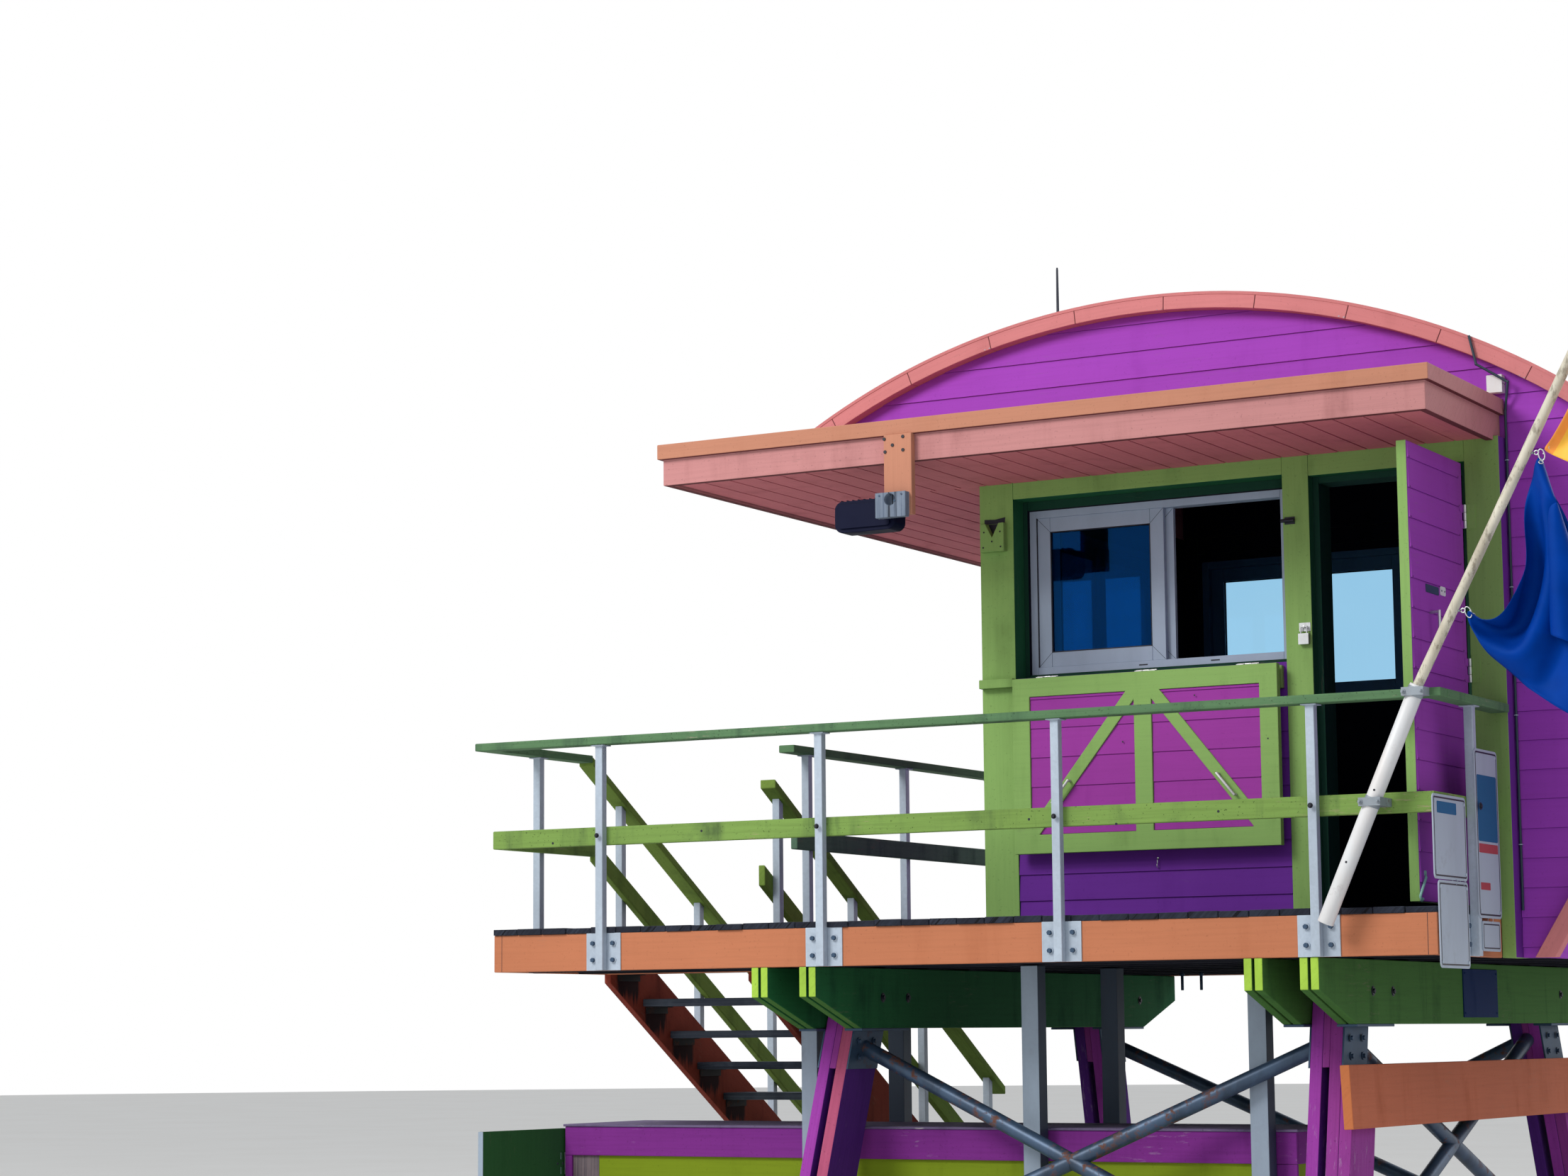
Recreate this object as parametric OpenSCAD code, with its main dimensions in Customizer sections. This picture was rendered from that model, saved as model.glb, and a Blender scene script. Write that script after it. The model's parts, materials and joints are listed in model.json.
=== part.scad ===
// Lifeguard tower: a barrel-roofed hut with a leaning landward wall on a raised
// deck, carried by splayed slotted legs, with an outside stair and a storage locker.
// X runs along the near side, Y away from it, Z up from the ground. Millimetres.

/* [Heights] */
// Height of the walking surface above the ground
deck_top = 2167; // [2000:1:2300]
// Canopy's lower edge above the door opening
door_head = 85; // [60:1:130]
// Canopy's lower edge above the window opening
window_head = 68; // [50:1:120]
// Height of the roof's crown above the top of the canopy
crown_h = 668; // [560:1:800]
// Outer radius of the barrel roof
roof_r = 3700; // [3550:5:4000]

/* [Deck] */
// Depth of the deck, near edge to back edge
deck_depth = 4200; // [4000:10:4500]
// Width of the stair well, from the deck's left end to the seaward walkway
well_w = 1190; // [1120:5:1300]
// Seaward walkway between the well and the hut
sea_walk_w = 1087; // [950:1:1250]
// Thickness of the deck boards
board_t = 30; // [22:1:40]
// Height of the boards around the deck's edge
fascia_h = 180; // [140:1:235]
// Thickness of planks sawn two inches thick
plank_t = 38; // [32:1:44]
// Distance from one joist to the next
joist_pitch = 450; // [300:5:500]
// Gap left where two boards butt
butt_gap = 1; // [0.5:0.5:3]
// How far the near and back deck strips run under the hut's walls
strip_lap = 44; // [20:1:90]

/* [Hut] */
// From the deck's near edge to the hut's end wall
gable_y = 956; // [850:1:1050]
// Thickness of the hut's walls
wall_t = 100; // [80:1:120]
// How far the window bay stands out from the end wall
bay_out = 100; // [60:1:140]
// Width of the bay's pier on the seaward side
sea_pier_w = 181; // [150:1:220]
// Width of the window opening
window_w = 1392; // [1300:1:1480]
// Height of the window opening
window_h = 876; // [800:1:950]
// Width of the pier between window and door
mid_pier_w = 130; // [100:1:180]
// Width of the door opening
door_w = 750; // [700:1:820]
// Height of the door opening
door_h = 2032; // [1900:1:2080]
// Width of the pier landward of the door
land_pier_w = 164; // [140:1:200]
// How far the bay runs past the end of the deck
bay_over = 64; // [50:1:100]
// How far the low wall under the window is set back
low_wall_back = 12; // [6:1:20]
// Foot of the leaning wall, measured out from the bay
foot_out = 166; // [130:1:200]
// Lean of the landward wall from the vertical, in degrees
lean_deg = 31.4; // [28:0.1:34]

/* [Roof] */
// Width of the curved board on each roof edge
rim_w = 78; // [70:1:100]
// Roof boards' overhang past the end walls
rim_over = 70; // [50:1:100]
// How far the rim stands above the roof shell
rim_lip = 6; // [3:1:12]
// Thickness of the roof shell and of the leaning wall
shell_t = 66; // [55:1:72]
// Lengths of rim board round the arch
rim_count = 12; // [8:1:16]

/* [Canopy] */
// Canopy's reach past the seaward wall
canopy_sea = 1275; // [1150:5:1400]
// Canopy's reach past the deck's near and back edges
canopy_over = 80; // [40:5:140]
// Canopy's lower band
canopy_low = 127; // [100:1:150]
// Canopy's upper band
canopy_high = 73; // [60:1:90]
// Rise of the canopy's soffit above its lower edge
soffit_rise = 20; // [10:1:30]
// How far the upper band stands out from the lower one
band_lip = 22; // [15:1:40]
// From the canopy's seaward edge to the roof's foot
roof_setback = 27; // [20:1:60]

/* [Legs] */
// Middle of the seaward legs from the deck's left end
sea_leg_x = 1640; // [1560:5:1800]
// Middle of the landward legs from the deck's landward end
land_leg_in = 710; // [620:5:800]
// Near face of the near legs below the beams, from the deck's near edge
leg_y = 540; // [480:5:600]
// Thickness of each of a leg's two planks
leg_plank_t = 58; // [50:1:70]
// Width of the slot between the planks
leg_slot = 34; // [28:1:44]
// Depth of a leg, measured level
leg_d = 299; // [270:1:320]
// Outward slope of the legs across the deck, as a run per rise
splay = 0.31; // [0.24:0.01:0.34]
// Outward slope of the legs along the deck, as a run per rise
side_lean = 0.045; // [0.03:0.005:0.05]
// How far the legs run up between the beams
leg_head = 200; // [150:5:250]
// Depth of the beams
beam_h = 286; // [240:1:300]
// Gap between the two planks of a beam
beam_slot = 12; // [8:1:20]
// Uncut depth at the ends of the beams
beam_nose = 140; // [110:1:180]
// Length of the sloping cut at the ends of the beams
beam_cut = 440; // [380:5:480]
// Thickness of the steel plates beside the legs
leg_plate_t = 8; // [6:1:10]
// Height of those plates below the beams
leg_plate_h = 190; // [160:5:230]
// Thickness of the bearing plates under the beams
bearing_t = 12; // [8:1:16]
// Length of the bearing plates
bearing_l = 480; // [400:10:540]
// Outside diameter of the pipe braces
brace_d = 73; // [60:1:76]
// Drop from the beams to the upper end of a brace
brace_top_drop = 94; // [80:1:120]
// Height of the lower ends of the near and back braces
brace_low = 532; // [450:1:650]
// Height of the lower ends of the landward braces
side_brace_low = 620; // [500:1:700]
// Side of the square steel posts
steel_post_w = 88; // [70:1:100]
// Left face of the first row of steel posts
steel_post_a = 1354; // [1250:1:1400]
// Left face of the second row of steel posts
steel_post_b = 2547; // [2450:1:2650]
// Left face of the third row of steel posts
steel_post_c = 3688; // [3600:1:3760]
// Near face of the near steel posts
steel_post_y = 670; // [660:1:672]
// Distance between the near and the far steel posts
steel_post_run = 900; // [890:1:980]

/* [Stair] */
// Width of the stair over its side boards
stair_w = 900; // [800:5:1000]
// Risers between the ground and the deck
riser_count = 13; // [12:1:14]
// Level distance from one tread to the next
tread_run = 272; // [255:1:290]
// Depth of a tread
tread_d = 268; // [240:1:285]
// Near edge of the top tread from the stair's head
tread_start = 40; // [30:1:60]
// Depth of the stair's side boards
stringer_h = 286; // [240:1:300]
// Side boards' top edge above the treads' noses
stringer_over = 60; // [45:1:80]
// Upright height of the stair's handrail over its side boards
stair_rail_h = 747; // [700:1:800]
// First post of the stair's handrails from the head of the stair
stair_post_start = 200; // [150:5:300]
// Distance from one of those posts to the next
stair_post_run = 787; // [700:1:800]
// Height of the plates behind those posts
stair_plate_h = 120; // [90:5:150]

/* [Railing] */
// Height of the top rail above the deck
rail_h = 917; // [880:1:1000]
// Width of the rails' planks
rail_w = 89; // [80:1:95]
// Height of the middle rail's top above the deck
mid_rail_h = 483; // [420:1:540]
// Side of the square railing posts
rail_post_w = 41; // [38:1:50]
// Thickness of the plates behind the posts
post_plate_t = 6; // [5:1:8]
// Width of the plates behind the posts
post_plate_w = 195; // [150:1:220]
// First post of the near railing from the deck's left end
first_post_x = 643; // [560:1:700]
// Last post of the near railing from the deck's landward end
last_post_in = 530; // [460:1:600]
// Posts along the near railing
near_post_count = 4; // [4:1:5]

/* [Window, shutter and door] */
// Width of the sides of the window's outer frame
frame_w = 38; // [30:1:45]
// Depth of the window's outer frame
frame_d = 70; // [60:1:80]
// Margin beside and below the window frame
casing_w = 24; // [18:1:30]
// Margin above the window frame
casing_top = 44; // [30:1:50]
// Width of a sash's stiles and rails
stile_w = 70; // [55:1:80]
// Thickness of a sash
sash_t = 25; // [22:1:28]
// Thickness of the glass
glass_t = 5; // [4:1:8]
// Height of the hinged window shutter
shutter_h = 841; // [760:1:850]
// Gap beside the shutter in the window's opening
shutter_gap = 18; // [10:1:25]
// Width of the shutter's frame boards
shutter_frame_w = 90; // [70:1:110]
// Thickness of the shutter
shutter_t = 38; // [32:1:40]
// Shutter hinges' pins out from the bay's face
shutter_pin_out = 20; // [16:1:24]
// Thickness of the door leaf
door_t = 45; // [38:1:50]
// Gap round the door leaf
door_gap = 5; // [5:0.5:8]
// Gap under the door leaf
door_sweep = 21; // [15:1:30]
// Door hinges' pins out from the bay's face
door_pin_out = 10; // [9:0.5:14]
// Radius of the hinge knuckles
knuckle_r = 8; // [6:0.5:8]

/* [Locker] */
// Locker's left end, out from the deck's left end
locker_out = 90; // [60:1:140]
// Length of the locker
locker_len = 3960; // [3800:10:4100]
// Near face of the locker
locker_y = 770; // [768:1:790]
// Depth of the locker
locker_d = 770; // [720:1:775]
// Height of the locker with its lid
locker_h = 1200; // [1000:5:1300]
// Thickness of the locker's boards
locker_board = 18; // [15:1:25]
// Height of the band under the locker's lid
locker_band = 144; // [120:1:180]
// Thickness of the locker's lid
lid_t = 12; // [10:1:20]
// How far the locker's lid overhangs
lid_over = 8; // [4:1:10]
// Opening angle of the locker's door, in degrees
locker_door_open = 177; // [160:1:178]

/* [Fittings] */
// First sign's reach past the deck's near edge
sign_out = 180; // [150:5:220]
// Diameter of the flag pole's sleeve
sleeve_d = 70; // [60:1:76]
// Diameter of the flag pole
pole_d = 44; // [36:1:50]
// Lean of the sleeve along the deck, in degrees
sleeve_lean = 24.1; // [22:0.1:26]
// Lean of the flag pole along the deck, in degrees
pole_lean = 27.9; // [26:0.1:30]
// Height of the flag pole's tip above the deck
pole_h = 2900; // [2700:10:3000]
// Lower flag's bottom clip above the deck
flag_low = 1230; // [1100:10:1400]
// Upright height of each flag along the pole
flag_hoist = 632; // [500:4:700]
// Length of the flags from the pole to the loose end
flag_fly = 700; // [600:10:740]
// Diameter of the hole in the hanger's block
hanger_hole_d = 56; // [40:1:60]

/* [Hidden] */

// Levels
board_low = deck_top - board_t;
beam_top = board_low - fascia_h;
beam_low = beam_top - beam_h;
canopy_z = deck_top + door_h + door_head;
soffit_z = canopy_z + soffit_rise;
canopy_t = canopy_low + canopy_high;
canopy_top = canopy_z + canopy_t;
sill_z = canopy_z - window_head - window_h;
rail_z = deck_top + rail_h - plank_t;
mid_rail_z = deck_top + mid_rail_h - rail_w;

// Stations along X
hut_x = well_w + sea_walk_w;
window_x = hut_x + sea_pier_w;
mid_pier_x = window_x + window_w;
door_x = mid_pier_x + mid_pier_w;
land_pier_x = door_x + door_w;
hut_end = land_pier_x + land_pier_w;
deck_len = hut_end - bay_over;
hut_in_x = hut_x + wall_t;
canopy_x = hut_x - canopy_sea;
land_leg_x = deck_len - land_leg_in;

// Stations along Y
bay_y = gable_y - bay_out;
gable_in = gable_y + wall_t;
strip_d = gable_y + strip_lap;
mid_y = deck_depth / 2;

// Leaning wall and arch: x of the leaning line set in by a distance square to it
lean = tan(lean_deg);
foot_x = hut_end + foot_out;
function lean_x(z, inset) = foot_x + lean * (z - beam_top) - inset / cos(lean_deg);
arch_z = canopy_top + crown_h - roof_r;
arch_x = canopy_x + roof_setback + sqrt(roof_r * roof_r - pow(roof_r - crown_h, 2));
// Height above the arch's centre at which the leaning line meets a circle of radius r
function meet_rise(r, inset) =
    let (q = lean_x(arch_z, inset) - arch_x, a = 1 + lean * lean)
    (-q * lean + sqrt(q * q * lean * lean - a * (q * q - r * r))) / a;
function meet_z(r, inset) = arch_z + meet_rise(r, inset);
function meet_x(r, inset) = lean_x(meet_z(r, inset), inset);
function meet(r, inset) = [meet_x(r, inset), meet_z(r, inset)];
// A step down along the leaning line
function down_lean(d) = [-lean * d, -d];
shell_r = roof_r - rim_lip;
inner_r = shell_r - shell_t;
rim_in_r = roof_r - rim_w;
inner_inset = rim_lip + shell_t;
panel_gap = 1;
// Reach of the cutting shapes past what they trim
cut_over = 900;

// Legs and beams
leg_w = 2 * leg_plank_t + leg_slot;
beam_w = 2 * plank_t + beam_slot;
beam_clear = 1;
beam_off = (leg_w / 2) / cos(atan(side_lean)) + side_lean * leg_head + beam_clear;
leg_end_z = beam_low + leg_head;
function leg_front(z) = leg_y - splay * (beam_low - z);
function leg_mid(z) = leg_front(z) + leg_d / 2;

// Stair
riser = deck_top / riser_count;
tread_count = riser_count - 1;
stair_slope = riser / tread_run;
first_tread = strip_d + tread_start;
stair_end = first_tread + (tread_count - 1) * tread_run + tread_d;
function stringer_top(y) = deck_top - riser + stringer_over - stair_slope * (y - first_tread - tread_d);
function stair_rail(y) = stringer_top(y) + stair_rail_h;
function on_slope(t) = t * sqrt(1 + stair_slope * stair_slope);
stringer_rise = on_slope(stringer_h);

// Railing
post_out = post_plate_t + rail_post_w / 2;
rail_out = post_out + rail_w / 2;
post_flange = 6;
flange_in = 8;
seat_gap = 0.3;
rail_start_y = 88;

// Shutter, door and their pins
shutter_w = window_w - 2 * shutter_gap;
shutter_x = window_x + shutter_gap;
shutter_pin_y = bay_y - shutter_pin_out;
shutter_pin_z = sill_z - 3;
shutter_hang = 8;
shutter_back = shutter_pin_out + 2;
door_pin_x = land_pier_x;
door_pin_y = bay_y - door_pin_out;
leaf_w = door_w - 3 * door_gap;
leaf_low = deck_top + door_sweep;
leaf_h = door_h - door_sweep - 2 * door_gap;

// Locker
locker_x = -locker_out;
locker_end = locker_x + locker_len;
locker_back = locker_y + locker_d;
locker_gap = 5;
locker_pin_x = locker_x - knuckle_r;
locker_pin_y = locker_y + 2 * locker_board;
locker_leaf_t = 30;
locker_leaf_w = locker_d - 4 * locker_board - 2 * locker_gap;
locker_leaf_low = locker_board + locker_gap;
locker_leaf_h = locker_h - lid_t - 2 * locker_gap - locker_leaf_low;

// The origin is on the ground below the middle of the whole tower
leaf_tip = locker_pin_x - knuckle_r * cos(180 - locker_door_open)
    - (locker_gap + locker_leaf_w) * sin(180 - locker_door_open)
    - locker_leaf_t * cos(180 - locker_door_open);
west_end = leaf_tip;
east_end = meet_x(roof_r, 0);
near_end = -sign_out;
back_end = stair_end;
origin_x = (west_end + east_end) / 2;
origin_y = (near_end + back_end) / 2;

module place() {
    translate([-origin_x, -origin_y, 0])
        children();
}

// A box between two corners
module span(low, high) {
    translate(low)
        cube(high - low);
}

// The children and their mirror image across the middle of the deck
module both_sides() {
    children();
    back_side()
        children();
}

module back_side() {
    translate([0, deck_depth, 0])
        mirror([0, 1, 0])
            children();
}

// An outline in X and Z, extruded from y0 to y1
module along_y(y0, y1) {
    translate([0, y1, 0])
        rotate([90, 0, 0])
            linear_extrude(y1 - y0)
                children();
}

// An outline in Y and Z, extruded from x0 to x1
module along_x(x0, x1) {
    translate([x0, 0, 0])
        rotate([90, 0, 90])
            linear_extrude(x1 - x0)
                children();
}

// A round bar between two points
module bar(from, to, d) {
    run = to - from;
    length = norm(run);
    translate(from)
        rotate([0, acos(run.z / length), atan2(run.y, run.x)])
            cylinder(h = length, d = d, $fn = 48);
}

// Roundwood across Y
module disc_y(x, z, r, y0, y1) {
    translate([x, y1, z])
        rotate([90, 0, 0])
            cylinder(h = y1 - y0, r = r, $fn = 180);
}

// Legs

module at_leg(x, side) {
    translate([x, 0, beam_low])
        rotate([0, side * atan(side_lean), 0])
            translate([0, 0, -beam_low])
                children();
}

// Side view of a leg between two levels, before it leans sideways
module leg_slab(x0, x1, z0, z1) {
    along_x(x0, x1)
        polygon([
            [leg_front(z0), z0],
            [leg_front(z0) + leg_d, z0],
            [leg_front(z1) + leg_d, z1],
            [leg_front(z1), z1]
        ]);
}

module leg_pair(x, side) {
    intersection() {
        at_leg(x, side)
            for (s = [-1, 1])
                translate([s * (leg_slot + leg_plank_t) / 2, 0, 0])
                    leg_slab(-leg_plank_t / 2, leg_plank_t / 2, -cut_over, leg_end_z + cut_over);
        span([x - cut_over, -cut_over, 0], [x + cut_over, deck_depth, leg_end_z]);
    }
}

module leg_planks() {
    color("purple")
        place()
            both_sides() {
                leg_pair(sea_leg_x, 1);
                leg_pair(land_leg_x, -1);
            }
}

slot_top = beam_low - leg_plate_h;
sister_top = slot_top - leg_plate_t;

module leg_spacer(x, side) {
    at_leg(x, side)
        leg_slab(-leg_slot / 2, leg_slot / 2, slot_top, leg_end_z - plank_t);
}

module leg_blocks() {
    color("mediumvioletred")
        place()
            both_sides() {
                leg_spacer(sea_leg_x, 1);
                leg_spacer(land_leg_x, -1);
                intersection() {
                    at_leg(land_leg_x, -1)
                        leg_slab(leg_w / 2, leg_w / 2 + leg_plank_t, -cut_over, sister_top);
                    span([land_leg_x, -cut_over, 0], [land_leg_x + cut_over, deck_depth, beam_low]);
                }
            }
}

module leg_side_plates(x, side) {
    intersection() {
        at_leg(x, side)
            for (s = [0, 1])
                mirror([s, 0, 0])
                    leg_slab(leg_w / 2, leg_w / 2 + leg_plate_t, slot_top, beam_low);
        span([x - cut_over, -cut_over, 0], [x + cut_over, deck_depth, beam_low - bearing_t]);
    }
}

module leg_plates() {
    color("dimgray")
        place()
            both_sides() {
                leg_side_plates(sea_leg_x, 1);
                leg_side_plates(land_leg_x, -1);
            }
}

bearing_gap = 2;

module bearing_pair(x) {
    inner = leg_w / 2 + bearing_gap;
    outer = beam_off + beam_w;
    y0 = leg_mid(beam_low) - bearing_l / 2;
    for (s = [0, 1])
        translate([x, 0, 0])
            mirror([s, 0, 0])
                span([inner, y0, beam_low - bearing_t], [outer, y0 + bearing_l, beam_low]);
}

module bearing_plates() {
    color("dimgray")
        place()
            both_sides() {
                bearing_pair(sea_leg_x);
                bearing_pair(land_leg_x);
            }
}

// Beams: two pairs of doubled planks with their ends cut away below

module beam_plank(x) {
    along_x(x, x + plank_t)
        polygon([
            [0, beam_top],
            [0, beam_top - beam_nose],
            [beam_cut, beam_low],
            [deck_depth - beam_cut, beam_low],
            [deck_depth, beam_top - beam_nose],
            [deck_depth, beam_top]
        ]);
}

module beams() {
    color("olivedrab")
        place()
            for (x = [sea_leg_x, land_leg_x])
                for (s = [0, 1])
                    translate([x, 0, 0])
                        mirror([s, 0, 0]) {
                            beam_plank(beam_off);
                            beam_plank(beam_off + plank_t + beam_slot);
                        }
}

// Braces: each cross is one whole pipe and one pipe in two halves, coped to the first

brace_high = beam_low - brace_top_drop;
weld_gap = 1;
cope_gap = 0.5;

// Space between the seaward and the landward legs, in front view
module between_legs() {
    half = leg_w / 2 + cope_gap;
    plate = half + leg_plate_t;
    left_low = sea_leg_x + half - side_lean * beam_low;
    left_high = sea_leg_x + plate - side_lean * leg_plate_h;
    right_low = land_leg_x - half + side_lean * beam_low;
    right_high = land_leg_x - plate + side_lean * leg_plate_h;
    along_y(-cut_over, deck_depth + cut_over)
        polygon([
            [left_low, 0],
            [left_high - leg_plate_t, slot_top],
            [left_high, slot_top],
            [sea_leg_x + plate, beam_low],
            [land_leg_x - plate, beam_low],
            [right_high, slot_top],
            [right_high + leg_plate_t, slot_top],
            [right_low, 0]
        ]);
}

// Space between the near and the back legs, in side view
module between_rows() {
    along_x(sea_leg_x, deck_len + cut_over)
        polygon([
            [leg_front(0) + leg_d + cope_gap, 0],
            [leg_front(beam_low) + leg_d + cope_gap, beam_low],
            [deck_depth - leg_front(beam_low) - leg_d - cope_gap, beam_low],
            [deck_depth - leg_front(0) - leg_d - cope_gap, 0]
        ]);
}

module brace_cross(a_from, a_to, b_from, b_to) {
    bar(a_from, a_to, brace_d);
    difference() {
        bar(b_from, b_to, brace_d);
        bar(a_from, a_to, brace_d + 2 * weld_gap);
    }
}

brace_reach = 300;

module near_cross() {
    reach = brace_reach;
    rise = brace_high - brace_low;
    left = sea_leg_x + leg_w / 2;
    right = land_leg_x - leg_w / 2;
    extra = rise * reach / (right - left);
    top = brace_high + extra;
    low = brace_low - extra;
    intersection() {
        brace_cross(
            [left - reach, leg_mid(top), top], [right + reach, leg_mid(low), low],
            [left - reach, leg_mid(low), low], [right + reach, leg_mid(top), top]
        );
        between_legs();
    }
}

module side_cross() {
    reach = brace_reach;
    near = leg_front(beam_low) + leg_d;
    far = deck_depth - near;
    rise = brace_high - side_brace_low;
    extra = rise * reach / (far - near);
    top = brace_high + extra;
    low = side_brace_low - extra;
    x_top = land_leg_x + side_lean * (beam_low - top);
    x_low = land_leg_x + side_lean * (beam_low - low);
    intersection() {
        brace_cross(
            [x_low, near - reach, low], [x_top, far + reach, top],
            [x_top, near - reach, top], [x_low, far + reach, low]
        );
        between_rows();
    }
}

module cross_braces() {
    color("darkslategray")
        place() {
            both_sides()
                near_cross();
            side_cross();
        }
}

module steel_posts() {
    color("slategray")
        place()
            for (x = [steel_post_a, steel_post_b, steel_post_c])
                for (y = [steel_post_y, steel_post_y + steel_post_run])
                    span([x, y, 0], [x + steel_post_w, y + steel_post_w, beam_top]);
}

// Deck

module fascia(low, high) {
    span([low.x, low.y, beam_top], [high.x, high.y, board_low]);
}

module fascia_boards() {
    color("orange")
        place() {
            fascia([0, 0], [deck_len, plank_t]);
            fascia([0, plank_t + butt_gap], [plank_t, strip_d]);
            fascia([plank_t + butt_gap, strip_d - plank_t], [well_w - post_plate_t - butt_gap, strip_d]);
            fascia([well_w, strip_d - plank_t], [well_w + plank_t, deck_depth - plank_t - butt_gap]);
            fascia([well_w, deck_depth - plank_t], [deck_len, deck_depth]);
            both_sides()
                fascia([deck_len - plank_t, plank_t + butt_gap], [deck_len, bay_y]);
        }
}

joist_start = steel_post_y + steel_post_w / 2 - joist_pitch * floor(steel_post_y / joist_pitch);
joist_count = floor((deck_depth - 2 * plank_t - joist_start) / joist_pitch) + 1;

module joists() {
    joist_end = lean_x(beam_top, inner_inset);
    color("peru")
        place()
            for (i = [0 : joist_count - 1]) {
                y = joist_start + i * joist_pitch;
                x0 = (y + plank_t < strip_d - plank_t) ? plank_t : well_w + plank_t;
                open_end = y < gable_in || y > deck_depth - gable_in;
                x1 = open_end ? deck_len - plank_t : joist_end;
                span([x0, y - plank_t / 2, beam_top], [x1, y + plank_t / 2, board_low]);
            }
}

module deck() {
    color("dimgray")
        place() {
            span([0, 0, board_low], [deck_len, strip_d, deck_top]);
            span([well_w, strip_d + butt_gap, board_low],
                [hut_in_x, deck_depth - strip_d - butt_gap, deck_top]);
            span([well_w, deck_depth - strip_d, board_low], [deck_len, deck_depth, deck_top]);
        }
}

module hut_floor() {
    color("gray")
        place() {
            span([hut_in_x, strip_d, board_low], [deck_len, deck_depth - strip_d, deck_top]);
            along_y(gable_in, deck_depth - gable_in)
                polygon([
                    [deck_len, board_low],
                    [lean_x(board_low, inner_inset), board_low],
                    [lean_x(deck_top, inner_inset), deck_top],
                    [deck_len, deck_top]
                ]);
        }
}

// Stair

module stringer(x) {
    level = board_low;
    y_level = first_tread + (stringer_top(first_tread) - level) / stair_slope;
    y_foot = first_tread + (stringer_top(first_tread) - stringer_rise) / stair_slope;
    along_x(x, x + plank_t)
        polygon([
            [strip_d, stringer_top(strip_d) - stringer_rise],
            [y_foot, 0],
            [stair_end, 0],
            [stair_end, stringer_top(stair_end)],
            [y_level, level],
            [strip_d, level]
        ]);
}

module stair_stringers() {
    color("sienna")
        place() {
            stringer(0);
            stringer(stair_w - plank_t);
        }
}

module stair_treads() {
    color("silver")
        place()
            for (k = [0 : tread_count - 1]) {
                y = first_tread + k * tread_run;
                z = deck_top - (k + 1) * riser;
                span([plank_t, y, z - plank_t], [stair_w - plank_t, y + tread_d, z]);
            }
}

cleat_w = 38;
cleat_t = 5;
cleat_in = 27;

module cleat(x, y, z) {
    difference() {
        span([x, y, z - cleat_w], [x + cleat_w, y + tread_d - 2 * cleat_in, z]);
        span([x + cleat_t, y - 1, z - cleat_w - 1], [x + cleat_w + 1, y + tread_d, z - cleat_t]);
    }
}

module tread_cleats() {
    color("darkgray")
        place()
            for (k = [0 : tread_count - 2]) {
                y = first_tread + k * tread_run + cleat_in;
                z = deck_top - (k + 1) * riser - plank_t;
                cleat(plank_t, y, z);
                translate([stair_w, 0, 0])
                    mirror([1, 0, 0])
                        cleat(plank_t, y, z);
            }
}

stair_posts_y = [for (i = [0 : 3]) strip_d + stair_post_start + i * stair_post_run];
stair_rail_over = 140;
stair_rail_end = stair_posts_y[3] + stair_rail_over;
stair_rail_start = strip_d + 100;

// A rail along the stair's slope, given by its upper edge at both ends
module sloped_rail(x0, x1, y0, y1, drop, thick) {
    along_x(x0, x1)
        polygon([
            [y0, stair_rail(y0) - drop - thick],
            [y1, stair_rail(y1) - drop - thick],
            [y1, stair_rail(y1) - drop],
            [y0, stair_rail(y0) - drop]
        ]);
}

module stair_rails(x, mid_x, start) {
    sloped_rail(x - rail_w / 2, x + rail_w / 2, start, stair_rail_end, 0, on_slope(plank_t));
    sloped_rail(mid_x, mid_x + plank_t, start, stair_rail_end, rail_h - mid_rail_h, on_slope(rail_w));
}

module stair_handrails() {
    color("olivedrab")
        place() {
            stair_rails(-post_out, -post_plate_t, left_rail_end + butt_gap);
            stair_rails(stair_w + post_out, stair_w + post_plate_t - plank_t, stair_rail_start);
        }
}

// Railing

module rail_post(x, y, low, high) {
    half = rail_post_w / 2;
    flange = rail_w / 2 - flange_in;
    span([x - half, y - half, low], [x + half, y + half, high]);
    span([x - flange, y - flange, high - post_flange], [x + flange, y + flange, high]);
}

function spread(first, last, count) =
    [for (i = [0 : count - 1]) first + i * (last - first) / (count - 1)];

near_posts = spread(first_post_x, deck_len - last_post_in, near_post_count);
sea_posts = spread(strip_d + rail_start_y, deck_depth - strip_d, 3);
back_posts = [for (x = near_posts) if (x > well_w + rail_w) x];
side_post_y = 430;

module stair_post(x, y) {
    half = rail_post_w / 2;
    top = stair_rail(y) - on_slope(plank_t) - seat_gap;
    low = stringer_top(y) - (stringer_rise + stair_plate_h) / 2;
    along_x(x - half, x + half)
        polygon([
            [y - half, low],
            [y + half, low],
            [y + half, top - stair_slope * half],
            [y - half, top + stair_slope * half]
        ]);
}

module rail_posts() {
    color("lightsteelblue")
        place() {
            for (x = near_posts)
                rail_post(x, -post_out, beam_top, rail_z);
            for (x = back_posts)
                rail_post(x, deck_depth + post_out, beam_top, rail_z);
            rail_post(-post_out, side_post_y, beam_top, rail_z);
            for (y = sea_posts)
                rail_post(well_w - post_out, y, beam_top, rail_z);
            both_sides()
                rail_post(deck_len + post_out, side_post_y, beam_top, rail_z);
            for (y = stair_posts_y)
                for (x = [-post_out, stair_w + post_out])
                    stair_post(x, y);
        }
}

module plate(x, y, along) {
    half = post_plate_w / 2;
    size = (along == "x") ? [half, post_plate_t / 2] : [post_plate_t / 2, half];
    span([x - size.x, y - size.y, beam_top], [x + size.x, y + size.y, board_low]);
}

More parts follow.
